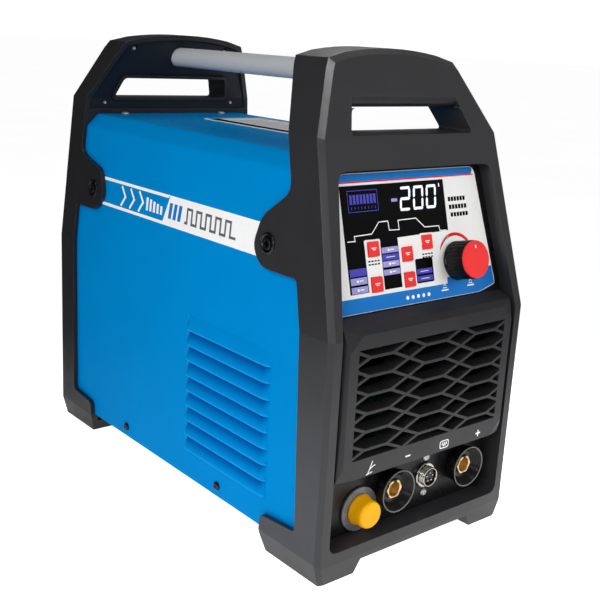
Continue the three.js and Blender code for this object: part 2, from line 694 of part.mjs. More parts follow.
// pattern of long hexagons in columns with diamonds between the columns
function grilleCells(y) {
  const { pitch, row, flat, rib, w, z } = GRILLE;
  const run = pitch / 2;
  const a = flat / 2;
  const b = row / 2;
  const hexagon = [[-run, 0], [-a, -b], [a, -b], [run, 0], [a, b], [-a, b]];
  const diamond = [[a - run, 0], [0, -b], [run - a, 0], [0, b]];
  const cells = [];
  const add = (points, cx, cz) => {
    const moved = inset(points, rib / 2).map(([px, pz]) => [px + cx, pz + cz]);
    cells.push(alongY(outline(moved), y - 1, y + GRILLE.deep + 1));
  };
  for (let k = -3; k <= 3; k += 1) {
    for (let c = -1; c <= 1; c += 1) add(hexagon, c * pitch, z + k * row);
  }
  for (let k = -3; k < 3; k += 1) {
    for (let c = -2; c <= 1; c += 1) add(diamond, (c + 0.5) * pitch, z + (k + 0.5) * row);
  }
  const field = box(-w, w, y - 2, y + GRILLE.deep + 2, z - 3 * row + 0.5, z + 3 * row - 0.5);
  return union(cells).intersect(field);
}
place('grille_bezel', bezelBody(), 'black');

// ---------------------------------------------------------------- control panel
function overlayShape() {
  const { bottom, top, height } = PANEL;
  return rounded([
    [-bottom, 0.6, 3],
    [bottom - 22, 0.6, 2],
    [bottom - 0.6, 5.6, 3],
    [top, height, 7],
    [-top, height, 7],
  ]);
}
function lensShape(margin) {
  return rectangle(LENS.u0 - margin, LENS.u1 + margin, LENS.v0 - margin, LENS.v1 + margin);
}
const lensPocket = alongZ(lensShape(GAP), -5, 5);
const plate = alongZ(overlayShape(), -OVERLAY_THICK, 0, 4);
place('control_overlay', minus(plate, [...panelHoles, lensPocket]), 'white', panel);
place('display_lens', alongZ(lensShape(0), -OVERLAY_THICK + 0.1, 0.2), 'lens', panel);

BUTTON_AT.forEach(([u, v], i) => {
  const shape = rectangle(-BUTTON.w / 2, BUTTON.w / 2, -BUTTON.h / 2, BUTTON.h / 2, 1);
  const cap = alongZ(shape, -4, BUTTON.proud, 3);
  const stem = turnedZ(rod(2, -9.2, -3.9), 0, 0, 12);
  place(`button_${i + 1}`, cap.add(stem).translate([u, v, 0]), 'red', panel);
});

// rotary control: fluted black skirt on the shaft, red cap on top
function knobSkirt() {
  const { r, skirt, shaft } = KNOB;
  const profile = [[0, 0.8], [r, 0.8], [r, 3], [r - 0.4, skirt - GAP], [0, skirt - GAP]];
  const grooves = [];
  const centre = r + 0.35;
  for (let i = 0; i < KNOB_FLUTES; i += 1) {
    const a = (i / KNOB_FLUTES) * Math.PI * 2;
    grooves.push(turnedZ(rod(1.1, 2.4, skirt + 1), Math.cos(a) * centre, Math.sin(a) * centre, 5));
  }
  const stem = turnedZ(rod(shaft, -11, 1), 0, 0, 16);
  return minus(turnedZ(profile, 0, 0, 32), grooves).add(stem);
}
place('knob_skirt', knobSkirt().translate([KNOB.u, KNOB.v, 0]), 'black', panel);
const capTop = KNOB.height;
const capProfile = [
  [0, KNOB.skirt], [KNOB.capR, KNOB.skirt], [KNOB.capR, capTop - 2.4], [KNOB.capR - 0.7, capTop - 0.8],
  [KNOB.capR - 2.2, capTop], [0, capTop],
];
place('knob_cap', turnedZ(capProfile, KNOB.u, KNOB.v, 32), 'red', panel);

// circuit board behind the panel with the display block and the rotary encoder
const boardBody = alongZ(rectangle(-78, 66, 8, 105, 2), -16.2, -14.6, 3);
place('control_board', boardBody, 'board', panel);
place('display_module', alongZ(rectangle(-70, 30, 79, 98), -14.4, -OVERLAY_THICK - 0.1), 'lens', panel);
const encoderHole = turnedZ(rod(KNOB.shaft + 0.4, -12, -4), KNOB.u, KNOB.v, 20);
const encoderBody = box(KNOB.u - 7, KNOB.u + 7, KNOB.v - 7, KNOB.v + 7, -14.4, -5.6);
place('encoder', encoderBody.subtract(encoderHole), 'steel', panel);

// ---------------------------------------------------------------- connectors
// flared plastic ring of a current socket, sunk floor round the brass
function socketRing(x) {
  const { lip, foot, floor, proud, z, sunk } = SOCKET;
  const face = FLOOR_Y - proud;
  const seat = FLOOR_Y - GAP;
  const inside = BRASS.r + GAP;
  const bed = face + sunk + 1.5;
  return turnedY([
    [inside, bed], [floor, bed], [lip - 1.3, face + 0.6], [lip - 0.8, face], [lip, face + 0.8],
    [foot, seat], [floor, seat], [floor, seat + 16], [inside, seat + 16], [inside, bed],
  ], x, z, 24);
}

// brass sleeve with a hexagonal collar, pin bore and keyway
function socketContact(x) {
  const { proud, z, sunk } = SOCKET;
  const { r, bore } = BRASS;
  const face = FLOOR_Y - proud;
  const collar = face + sunk;
  const seat = FLOOR_Y - GAP;
  const hex = new THREE.CylinderGeometry(r * 1.02, r * 1.02, 5, 6);
  hex.translate(x, collar + 2, z);
  const head = solid(hex).intersect(turnedY(rod(r, face, face + 20), x, z, 24));
  const back = turnedY(rod(r, collar + 2, seat + 24), x, z, 24);
  const drill = turnedY(rod(bore, face, seat + 10), x, z, 24);
  const key = box(x - 2.2, x + 2.2, face, collar + 8, z, z + bore + 1.4);
  return minus(head.add(back), [drill, key]);
}

Object.entries(SOCKET_X).forEach(([pole, x]) => {
  place(`${pole}_socket`, socketRing(x), 'black');
  place(`${pole}_contact`, socketContact(x), 'brass');
});

// round control socket: threaded shell with its nut, and the insert with five pin holes
const plugFace = FLOOR_Y - PLUG.proud;
const plugRear = FLOOR_Y + 12;
place('control_socket', turnedY([
  [PLUG.bore, plugFace], [PLUG.bore, FLOOR_Y + 1], [PLUG.bore - 0.7, FLOOR_Y + 1],
  [PLUG.bore - 0.7, plugRear], [PLUG.bore + 0.1, plugRear], [PLUG.bore + 0.1, FLOOR_Y],
  [PLUG.nut, FLOOR_Y - GAP], [PLUG.nut, FLOOR_Y - 1.8], [10.6, FLOOR_Y - 2.6],
  [PLUG.r, FLOOR_Y - 2.8], [PLUG.r, plugFace], [PLUG.bore, plugFace],
], PLUG.x, PLUG.z, 24), 'nickel');
const PINS = { count: 5, circle: 3.8, r: 0.9 };
const pinHoles = Array.from({ length: PINS.count }, (_, i) => {
  const a = (i / PINS.count) * Math.PI * 2 + Math.PI / 2;
  const x = PLUG.x + PINS.circle * Math.cos(a);
  const z = PLUG.z + PINS.circle * Math.sin(a);
  return turnedY(rod(PINS.r, plugFace - 1, plugFace + 6), x, z, 10);
});
const insert = turnedY(rod(PLUG.bore - 1, plugFace + 2.2, FLOOR_Y + 14), PLUG.x, PLUG.z, 24);
place('control_insert', minus(insert, pinHoles), 'black');

// cross slot screw of the control socket; s tells the upper from the lower one
function socketScrew(s) {
  const z = PLUG.z + s * PLUG.screw;
  const y = FLOOR_Y - GAP / 2;
  const head = turnedY([[0, y - 2.4], [2.4, y - 2.3], [3.7, y - 1.1], [3.7, y], [0, y]], PLUG.x, z, 16);
  const stem = turnedY(rod(1.7, y - 0.1, y + 9), PLUG.x, z, 10);
  const slot = (dx, dz) => box(PLUG.x - dx, PLUG.x + dx, y - 3, y - 1.7, z - dz, z + dz);
  return minus(head.add(stem), [slot(2, 0.4), slot(0.4, 2)]);
}
[1, -1].forEach((s, i) => place(`socket_screw_${i + 1}`, socketScrew(s), 'steel'));

// gas outlet with its washer and push-on dust cap
const washerY = FLOOR_Y - GAP - 2;
const washerRing = ring(GAS.bore + 0.4, GAS.washer, washerY, FLOOR_Y - GAP);
place('gas_washer', turnedY(washerRing, GAS.x, GAS.z, 24), 'grey');
const nippleFace = washerY - 11;
place('gas_outlet', turnedY([
  [0, nippleFace + 9], [3, nippleFace + 9], [3, nippleFace], [7.4, nippleFace],
  [7.9, nippleFace + 1], [7.9, FLOOR_Y + 14], [4, FLOOR_Y + 14], [3.4, FLOOR_Y + 22], [0, FLOOR_Y + 22],
], GAS.x, GAS.z, 22), 'brass');
const capFace = FLOOR_Y - GAP - GAS.length;
const capSeat = washerY - GAP;
place('gas_cap', turnedY([
  [GAS.bore, capSeat], [GAS.flange, capSeat], [GAS.flange, capSeat - 1.4], [GAS.cap + 0.8, capSeat - 3.4],
  [GAS.cap, capSeat - 6], [GAS.cap, capFace + 1], [GAS.cap - 1, capFace], [0, capFace],
  [0, capFace + 2], [GAS.bore, capFace + 2], [GAS.bore, capSeat],
], GAS.x, GAS.z, 22), 'yellow');

// ---------------------------------------------------------------- rear panel and its fittings
const BACK = { y0: HALF - 36, y1: HALF - 34 };
const FAN_BORE = FAN.size / 2 - 3;
const SWITCH = { x: -58, z: 285 };
const GLAND = { x: -60, z: 62, r: 9.6 };
const INLET = { x: 56, z: 62, r: 6 };
const fanHoles = [-1, 1].flatMap((sx) => [-1, 1].map((sz) => turnedY(
  rod(2.2, BACK.y0 - 40, BACK.y1 + 5),
  FAN.x + sx * FAN.screw,
  FAN.z + sz * FAN.screw,
  10,
)));
const backPlate = alongY(rounded(recessCorners(GAP)), BACK.y0, BACK.y1, 4);
place('rear_panel', minus(backPlate, [
  turnedY(rod(FAN_BORE - 1, BACK.y0 - 1, BACK.y1 + 1), FAN.x, FAN.z, 28),
  switchBlock(14.6, 11.4, BACK.y0 - 1, BACK.y1 + 1),
  turnedY(rod(GLAND.r + GAP, BACK.y0 - 1, BACK.y1 + 1), GLAND.x, GLAND.z, 24),
  turnedY(rod(INLET.r + GAP, BACK.y0 - 1, BACK.y1 + 1), INLET.x, INLET.z, 24),
  ...fanHoles,
]), 'black');

// axial fan: square frame with three arms behind the rotor
const fanBack = BACK.y0 - GAP;
const fanFront = fanBack - FAN.depth;
function fanFrame() {
  const s = FAN.size / 2;
  const block = box(FAN.x - s, FAN.x + s, fanFront, fanBack, FAN.z - s, FAN.z + s);
  const bore = turnedY(rod(FAN_BORE, fanFront - 1, fanBack + 1), FAN.x, FAN.z, 28);
  const base = turnedY(rod(19, fanFront, fanFront + 4), FAN.x, FAN.z, 24);
  const pin = turnedY(rod(2, fanFront + 3, fanFront + 17), FAN.x, FAN.z, 12);
  const arms = [0, 1, 2].map((i) => {
    const geometry = new THREE.BoxGeometry(FAN_BORE + 1, 4, 6);
    geometry.translate((FAN_BORE + 1) / 2, 0, 0);
    geometry.rotateY((i / 3) * Math.PI * 2 + 0.5);
    geometry.translate(FAN.x, fanFront + 2, FAN.z);
    return solid(geometry);
  });
  return union([block.subtract(bore), base, pin, ...arms]).subtract(union(fanHoles));
}
place('fan_frame', fanFrame(), 'black');

function fanRotor() {
  const y0 = fanFront + 5;
  const y1 = fanBack - 1.5;
  const mid = (y0 + y1) / 2;
  const hub = turnedY([
    [2.4, y0], [20, y0], [20, y1 - 1.5], [18.5, y1], [0, y1], [0, y0 + 14], [2.4, y0 + 14], [2.4, y0],
  ], 0, 0, 24);
  const blades = [];
  for (let i = 0; i < FAN.blades; i += 1) {
    const geometry = new THREE.BoxGeometry(36, 1.8, 24);
    geometry.rotateX(0.62);
    geometry.translate(36, mid, 0);
    geometry.rotateY((i / FAN.blades) * Math.PI * 2);
    blades.push(solid(geometry));
  }
  const limit = turnedY(ring(19, FAN_BORE - 1.5, y0 + 0.5, y1 - 0.5), 0, 0, 28);
  return hub.add(union(blades).intersect(limit)).translate([FAN.x, 0, FAN.z]);
}
place('fan_rotor', fanRotor(), 'black');

// wire guard outside the panel
function fanGuard() {
  const y = BACK.y1 + GAP;
  const wire = 1.6;
  const rings = [18, 36, 54].map((r) => turnedY(ring(r - wire, r, y + 1.4, y + 1.4 + wire), 0, 0, 18));
  const bars = [0, 1].map((i) => {
    const geometry = new THREE.BoxGeometry(152, wire, wire * 1.4);
    geometry.rotateY(Math.PI / 4 + (i * Math.PI) / 2);
    geometry.translate(0, y + wire / 2, 0);
    return solid(geometry);
  });
  const atScrews = (profile) => [-1, 1].flatMap((sx) => [-1, 1].map((sz) => (
    turnedY(profile, sx * FAN.screw, sz * FAN.screw, 10)
  )));
  const pads = atScrews(ring(2.2, 5, y, y + wire));
  const bores = atScrews(rod(2.2, y - 1, y + 4));
  return minus(union([...rings, ...bars, ...pads]), bores).translate([FAN.x, 0, FAN.z]);
}
place('fan_guard', fanGuard(), 'steel');

// mains rocker switch
const flangeY = BACK.y1 + GAP;
// block of half width w and half height h round the middle of the switch
function switchBlock(w, h, y0, y1) {
  return box(SWITCH.x - w, SWITCH.x + w, y0, y1, SWITCH.z - h, SWITCH.z + h);
}
const switchFlange = switchBlock(17, 13.5, flangeY, flangeY + 2);
const switchBody = switchBlock(14, 11, BACK.y0 - 20, flangeY + 0.5);
const switchWell = switchBlock(12, 9, flangeY - 9, flangeY + 4);
place('switch_housing', switchFlange.add(switchBody).subtract(switchWell), 'black');
const PIVOT_Y = flangeY - 0.5;
const rockerProfile = outline([
  [-5.5, -4.5], [0, -7.6], [5.2, -8], [2.6, 0], [5.2, 8], [0, 7.6], [-5.5, 4.5],
]);
const rocker = alongX(rockerProfile, -11.4, 11.4).rotate([-8, 0, 0]);
place('switch_rocker', rocker.translate([SWITCH.x, PIVOT_Y, SWITCH.z]), 'red');

// cable gland and the start of the mains cable
const gland = turnedY([
  [5.8, BACK.y0 - 8], [13, BACK.y0 - 8], [13, BACK.y0 - GAP], [GLAND.r, BACK.y0 - GAP],
  [GLAND.r, BACK.y1 + GAP], [13.5, BACK.y1 + GAP], [13.5, BACK.y1 + 6], [11, BACK.y1 + 7],
  [10.4, BACK.y1 + 15], [7, BACK.y1 + 17], [5.8, BACK.y1 + 17], [5.8, BACK.y0 - 8],
], GLAND.x, GLAND.z, 12);
place('mains_gland', gland, 'rubber');
// the cable is cut off level with the most forward point of the front
const CABLE_END = HALF + BEZEL.proud;
place('mains_cable', turnedY(rod(4.6, BACK.y0 - 34, CABLE_END), GLAND.x, GLAND.z, 16), 'rubber');

// ---------------------------------------------------------------- gas path
const inlet = turnedY([
  [0, BACK.y0 - 12], [INLET.r, BACK.y0 - 12], [INLET.r, BACK.y1 + GAP], [9, BACK.y1 + GAP],
  [9, BACK.y1 + 7], [4.4, BACK.y1 + 8], [3.6, BACK.y1 + 14], [4.6, BACK.y1 + 15],
  [3.6, BACK.y1 + 20], [4.6, BACK.y1 + 21], [3.2, BACK.y1 + 26], [0, BACK.y1 + 26],
], INLET.x, INLET.z, 6);
place('gas_inlet', inlet, 'brass');
const valveY = BACK.y0 - 12 - GAP;
const valve = union([
  box(INLET.x - 13, INLET.x + 13, valveY - 26, valveY, INLET.z - 11, INLET.z + 11),
  turnedZ(rod(4, 0, 20), 0, 0, 16).translate([INLET.x, valveY - 13, INLET.z + 5]),
  box(INLET.x - 11, INLET.x + 11, valveY - 26, valveY - 2, INLET.z + 13, INLET.z + 26),
  turnedY(rod(4, valveY - 36, valveY - 25), INLET.x, INLET.z, 16),
]);
place('gas_valve', valve, 'brass');

// round bar swept along a smooth path through the points
function swept(points, radius, steps, curveSegments) {
  const stations = points.map((p) => new THREE.Vector3(...p));
  const extrudePath = new THREE.CatmullRomCurve3(stations, false, 'centripetal');
  const circle = new THREE.Shape().absarc(0, 0, radius, 0, Math.PI * 2);
  const settings = { steps, curveSegments, extrudePath, bevelEnabled: false };
  return solid(new THREE.ExtrudeGeometry(circle, settings));
}
place('gas_hose', swept([
  [INLET.x, valveY - 36.6, INLET.z],
  [INLET.x, valveY - 41, INLET.z],
  [INLET.x - 4, valveY - 66, INLET.z - 18],
  [INLET.x - 10, valveY - 110, 38],
  [INLET.x - 12, 0, 36],
  [10, -120, 36],
  [GAS.x + 16, -160, 38],
  [GAS.x, -176, GAS.z - 1],
  [GAS.x, FLOOR_Y + 26, GAS.z],
  [GAS.x, FLOOR_Y + 22.6, GAS.z],
], 3.6, 18, 3), 'rubber');

// ---------------------------------------------------------------- power electronics
const BOARD = { z: 66, x: 92, y0: -150, y1: 138 };
function powerBoard() {
  const sheet = box(-BOARD.x, BOARD.x, BOARD.y0, BOARD.y1, BOARD.z, BOARD.z + 1.8);
  const posts = [-1, 1].flatMap((sx) => [BOARD.y0 + 12, BOARD.y1 - 12].map((y) => turnedZ(
    rod(3.5, PAN.z + 1.5 + GAP, BOARD.z + 0.5),
    sx * 66,
    y,
    12,
  )));
  const can = rod(15, BOARD.z + 1, BOARD.z + 48);
  const cans = [46, 80, 114].map((y) => turnedZ(can, 66, y, 14));
  const relay = box(28, 46, 70, 98, BOARD.z + 1, BOARD.z + 20);
  const choke = turnedZ(ring(10, 24, BOARD.z + 1, BOARD.z + 24), 60, -112, 28);
  return union([sheet, ...posts, ...cans, relay, choke]);
}
place('power_board', powerBoard(), 'board');

function heatsink() {
  const z0 = BOARD.z + 1.8 + GAP;
  const fins = [];
  for (let i = 0; i < 11; i += 1) {
    fins.push(box(-86 + i * 6, -83.8 + i * 6, -118, 118, z0 + 5, z0 + 62));
  }
  return union([box(-88, -20, -118, 118, z0, z0 + 6), ...fins]);
}
place('heatsink', heatsink(), 'alloy');

function transformer() {
  const z0 = BOARD.z + 1.8 + GAP;
  const core = union([
    box(0, 60, -66, -56, z0, z0 + 60),
    box(0, 60, 0, 10, z0, z0 + 60),
    box(0, 60, -40, -16, z0, z0 + 60),
    box(0, 60, -66, 10, z0, z0 + 12),
    box(0, 60, -66, 10, z0 + 48, z0 + 60),
  ]);
  const winding = alongZ(rectangle(-8, 68, -52, -4, 12), z0 + 14, z0 + 46, 4);
  return core.add(winding);
}
place('main_transformer', transformer(), 'copper');

export default group;
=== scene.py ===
"""Looks of the TIG welding machine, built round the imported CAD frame."""
import json
import math

import bmesh
import bpy
from mathutils import Matrix, Vector


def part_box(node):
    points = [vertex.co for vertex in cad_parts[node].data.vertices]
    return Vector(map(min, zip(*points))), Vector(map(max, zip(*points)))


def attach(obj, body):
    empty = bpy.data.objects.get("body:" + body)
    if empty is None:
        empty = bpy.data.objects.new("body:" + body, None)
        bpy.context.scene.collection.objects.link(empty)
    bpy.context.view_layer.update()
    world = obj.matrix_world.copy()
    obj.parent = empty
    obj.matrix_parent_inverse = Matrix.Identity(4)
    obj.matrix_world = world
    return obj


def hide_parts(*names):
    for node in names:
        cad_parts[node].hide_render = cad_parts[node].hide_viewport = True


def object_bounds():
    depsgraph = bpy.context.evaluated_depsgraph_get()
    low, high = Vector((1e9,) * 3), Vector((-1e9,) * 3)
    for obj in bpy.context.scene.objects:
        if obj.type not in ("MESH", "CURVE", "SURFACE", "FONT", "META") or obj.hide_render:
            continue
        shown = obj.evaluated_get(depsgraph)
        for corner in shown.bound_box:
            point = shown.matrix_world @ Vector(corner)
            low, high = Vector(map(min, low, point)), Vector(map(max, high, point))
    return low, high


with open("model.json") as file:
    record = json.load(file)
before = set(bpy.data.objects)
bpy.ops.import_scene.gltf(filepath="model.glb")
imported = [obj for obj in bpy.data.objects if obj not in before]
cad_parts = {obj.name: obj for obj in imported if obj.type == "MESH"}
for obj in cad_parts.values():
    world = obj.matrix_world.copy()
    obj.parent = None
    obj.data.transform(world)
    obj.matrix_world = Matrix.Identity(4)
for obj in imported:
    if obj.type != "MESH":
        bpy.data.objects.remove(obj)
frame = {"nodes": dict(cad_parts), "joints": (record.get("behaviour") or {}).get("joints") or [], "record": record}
cad_low, cad_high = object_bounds()

MM = 0.001


# ------------------------------------------------------------------ node materials
def srgb(red, green, blue):
    """Linear colour from ordinary 0-255 values."""
    def linear(value):
        value /= 255
        return value / 12.92 if value <= 0.04045 else ((value + 0.055) / 1.055) ** 2.4
    return (linear(red), linear(green), linear(blue), 1)


def shade(colour, factor):
    return tuple(min(1, part * factor) for part in colour[:3]) + (1,)


class Graph:
    """A node material being put together round one Principled shader."""

    def __init__(self, name):
        self.material = bpy.data.materials.new(name)
        self.material.use_nodes = True
        self.tree = self.material.node_tree
        self.tree.nodes.clear()
        self.surface = self.add("ShaderNodeBsdfPrincipled")
        self.output = self.add("ShaderNodeOutputMaterial")
        self.link(self.surface.outputs[0], self.output.inputs["Surface"])
        self.place = self.add("ShaderNodeTexCoord").outputs["Object"]

    def link(self, source, target):
        self.tree.links.new(source, target)

    def add(self, kind, inputs=None, **settings):
        node = self.tree.nodes.new(kind)
        for key, value in settings.items():
            setattr(node, key, value)
        for key, value in (inputs or {}).items():
            if isinstance(value, bpy.types.NodeSocket):
                self.link(value, node.inputs[key])
            else:
                node.inputs[key].default_value = value
        return node

    def set(self, **values):
        for key, value in values.items():
            socket = self.surface.inputs[key.replace("_", " ")]
            if isinstance(value, bpy.types.NodeSocket):
                self.link(value, socket)
            else:
                socket.default_value = value

    def noise(self, size_mm, detail=2.0, stretch=(1, 1, 1)):
        """Cloudy value between 0 and 1 whose features are about size_mm across."""
        scaled = self.add("ShaderNodeMapping", {"Vector": self.place, "Scale": stretch})
        scale = 1 / (size_mm * MM)
        return self.add("ShaderNodeTexNoise", {
            "Vector": scaled.outputs[0],
            "Scale": scale,
            "Detail": detail,
        }).outputs[0]

    def level(self, value, low, high, to_low, to_high):
        """Value moved from the range low..high to to_low..to_high."""
        return self.add("ShaderNodeMapRange", {
            "Value": value,
            "From Min": low,
            "From Max": high,
            "To Min": to_low,
            "To Max": to_high,
        }).outputs[0]

    def mix(self, factor, first, second):
        node = self.add("ShaderNodeMix", data_type="RGBA")
        for socket, value in zip((node.inputs[0], node.inputs[6], node.inputs[7]), (factor, first, second)):
            if isinstance(value, bpy.types.NodeSocket):
                self.link(value, socket)
            else:
                socket.default_value = value
        return node.outputs[2]

    def total(self, first, second, operation="ADD"):
        node = self.add("ShaderNodeMath", operation=operation)
        for socket, value in zip(node.inputs, (first, second)):
            if isinstance(value, bpy.types.NodeSocket):
                self.link(value, socket)
            else:
                socket.default_value = value
        return node.outputs[0]

    def rounded(self, radius_mm):
        """Normal that rounds sharp edges, and a mask that is 1 along them."""
        soft = self.add("ShaderNodeBevel", {"Radius": radius_mm * MM}, samples=6).outputs[0]
        flat = self.add("ShaderNodeNewGeometry").outputs["Normal"]
        both = self.add("ShaderNodeVectorMath", {0: soft, 1: flat}, operation="DOT_PRODUCT")
        mask = self.level(both.outputs["Value"], 0.995, 0.8, 0, 1)
        return soft, mask

    def bump(self, height, depth_mm, normal=None):
        inputs = {"Height": height, "Distance": depth_mm * MM}
        if normal is not None:
            inputs["Normal"] = normal
        return self.add("ShaderNodeBump", inputs).outputs[0]


def moulded(name, colour, rough=0.45, grain_mm=0.5, depth_mm=0.03, edge_mm=0.7, edge_gain=1.6, gloss=0.5):
    """Moulded plastic: fine spark-eroded grain, slight clouding, edges painted lighter as a highlight."""
    graph = Graph(name)
    cloud = graph.noise(45, 3)
    base = graph.mix(cloud, shade(colour, 0.86), shade(colour, 1.14))
    normal, edge = graph.rounded(edge_mm)
    # Painted highlight: edges mixed towards edge_gain times the base colour.
    edge_highlight = graph.mix(graph.total(edge, 0.6, "MULTIPLY"), base, shade(colour, edge_gain))
    grain = graph.noise(grain_mm, 2)
    patch = graph.noise(18, 2)
    graph.set(
        Base_Color=edge_highlight,
        Roughness=graph.total(graph.level(patch, 0.3, 0.7, rough - 0.06, rough + 0.06),
                              graph.level(edge, 0, 1, 0, -0.1)),
        Normal=graph.bump(grain, depth_mm, normal),
        Specular_IOR_Level=gloss,
    )
    return graph.material


def painted(name, colour, rough=0.32, edge_mm=0.5, gloss=0.1, tint=(1, 1, 1, 1), painted_shade=None, bright=None):
    """Powder coat on sheet steel: orange peel, faint clouding, folds painted lighter as a highlight.

    With a painted shade colour and a painted highlight colour, the sheet also takes painted shade in recesses and
    under the louvre lips (shade values) and a painted highlight along the lips (gleam values)."""
    graph = Graph(name)
    cloud = graph.noise(70, 2)
    base = graph.mix(cloud, shade(colour, 0.94), shade(colour, 1.06))
    normal, edge = graph.rounded(edge_mm)
    if painted_shade:
        # Painted shade: darker colour where little open sky is seen (recesses, creases, next to the frames) and under
        # each louvre lip; painted highlight along the lips.
        open_sky = graph.add("ShaderNodeAmbientOcclusion", {"Distance": 14 * MM}, samples=10).outputs["AO"]
        recess_shade = graph.level(open_sky, 0.4, 0.9, 0.8, 0)
        lip_shadow = graph.add("ShaderNodeAttribute", attribute_name="shade").outputs["Fac"]
        lip = graph.add("ShaderNodeAttribute", attribute_name="gleam").outputs["Fac"]
        base = graph.mix(graph.total(recess_shade, lip_shadow, "MAXIMUM"), base, painted_shade)
        base = graph.mix(lip, base, bright)
    # Painted highlight: edges and folds mixed towards 1.5 times the base colour.
    base = graph.mix(graph.total(edge, 0.6, "MULTIPLY"), base, shade(colour, 1.5))
    peel = graph.noise(1.6, 2)
    graph.set(
        Base_Color=base,
        Roughness=graph.level(graph.noise(9, 3), 0.3, 0.7, rough - 0.05, rough + 0.06),
        Normal=graph.bump(peel, 0.025, normal),
        Specular_IOR_Level=gloss,
        Specular_Tint=tint,
    )
    return graph.material


def metal(name, colour, rough=0.3, brush=(1, 1, 1), brush_mm=0.4, depth_mm=0.01, edge_mm=0.3, stain=0.85):
    """Bare or plated metal with brushing or turning marks and slight tarnish."""
    graph = Graph(name)
    tarnish = graph.level(graph.noise(6, 4), 0.4, 0.7, 0, 1)
    base = graph.mix(tarnish, colour, shade(colour, stain))
    normal, edge = graph.rounded(edge_mm)
    lines = graph.noise(brush_mm, 2, brush)
    graph.set(
        # Painted highlight: edges mixed towards 1.15 times the base colour.
        Base_Color=graph.mix(edge, base, shade(colour, 1.15)),
        Metallic=1.0,
        Roughness=graph.total(graph.level(lines, 0.3, 0.7, rough - 0.05, rough + 0.08),
                              graph.level(tarnish, 0, 1, 0, 0.08)),
        Normal=graph.bump(lines, depth_mm, normal),
    )
    return graph.material


def film(name, colour, rough=0.3, glow=0.0):
    """Printed polyester film: dense colour, faint ink screen, slight haze."""
    graph = Graph(name)
    ink = graph.noise(0.35, 1)
    base = graph.mix(graph.level(ink, 0.35, 0.65, 0, 1), shade(colour, 0.95), shade(colour, 1.03))
    graph.set(
        Base_Color=base,
        Roughness=graph.level(graph.noise(14, 3), 0.3, 0.7, rough - 0.03, rough + 0.04),
        Normal=graph.bump(graph.noise(0.9, 1), 0.006),
        Specular_IOR_Level=0.12,
    )
    if glow:
        graph.set(Emission_Color=base, Emission_Strength=glow)
    return graph.material


def circuit_board(name):
    """Green solder mask with tracks and solder-coloured pads."""
    graph = Graph(name)
    tracks = graph.add("ShaderNodeTexVoronoi", {"Vector": graph.place, "Scale": 160.0},
                       distance="MANHATTAN").outputs["Distance"]
    line = graph.level(tracks, 0.42, 0.5, 0, 1)
    pads = graph.add("ShaderNodeTexVoronoi", {"Vector": graph.place, "Scale": 260.0}).outputs["Distance"]
    dot = graph.level(pads, 0.16, 0.12, 0, 1)
    green = graph.mix(line, srgb(18, 74, 44), srgb(34, 108, 62))
    graph.set(
        Base_Color=graph.mix(dot, green, srgb(190, 186, 170)),
        Metallic=dot,
        Roughness=graph.level(graph.noise(8, 2), 0.3, 0.7, 0.35, 0.5),
        Normal=graph.bump(line, 0.03),
    )
    return graph.material


def winding(name):
    """Enamelled copper wire wound round the vertical axis."""
    graph = Graph(name)
    wires = graph.add("ShaderNodeTexWave", {"Vector": graph.place, "Scale": 300.0, "Distortion": 1.5},
                      bands_direction="Z").outputs["Fac"]
    graph.set(
        Base_Color=graph.mix(wires, srgb(110, 50, 22), srgb(190, 100, 52)),
        Metallic=0.8,
        Roughness=graph.level(graph.noise(4, 2), 0.3, 0.7, 0.3, 0.45),
        Normal=graph.bump(wires, 0.4),
    )
    return graph.material


FLOOR_GLOW = 0.5  # light the pale table gives back to the machine
TABLE_MIDDLE = (0, -0.25, 0)


def pale_floor():
    """Seamless white studio floor; only a faint shadow shows on it."""
    graph = Graph("studio_floor")
    tone = graph.mix(graph.noise(300, 2), srgb(250, 250, 250), srgb(255, 255, 255))
    seen = graph.add("ShaderNodeLightPath").outputs["Is Camera Ray"]
    spot = graph.add("ShaderNodeVectorMath", {0: graph.place, 1: TABLE_MIDDLE}, operation="DISTANCE")
    # Painted pool of light: towards the machine the table is lighter and glows more, away from it darker; only
    # reflections and bounce light show it.
    near = graph.level(spot.outputs["Value"], 0.3, 0.8, 1, 0)
    dim = graph.mix(near, srgb(60, 60, 62), tone)
    glow = graph.total(graph.level(near, 0, 1, 0.04, FLOOR_GLOW), graph.level(seen, 0, 1, 0, 1), "MAXIMUM")
    graph.set(Base_Color=dim, Roughness=0.9, Emission_Color=tone, Emission_Strength=glow, Specular_IOR_Level=0.0)
    return graph.material


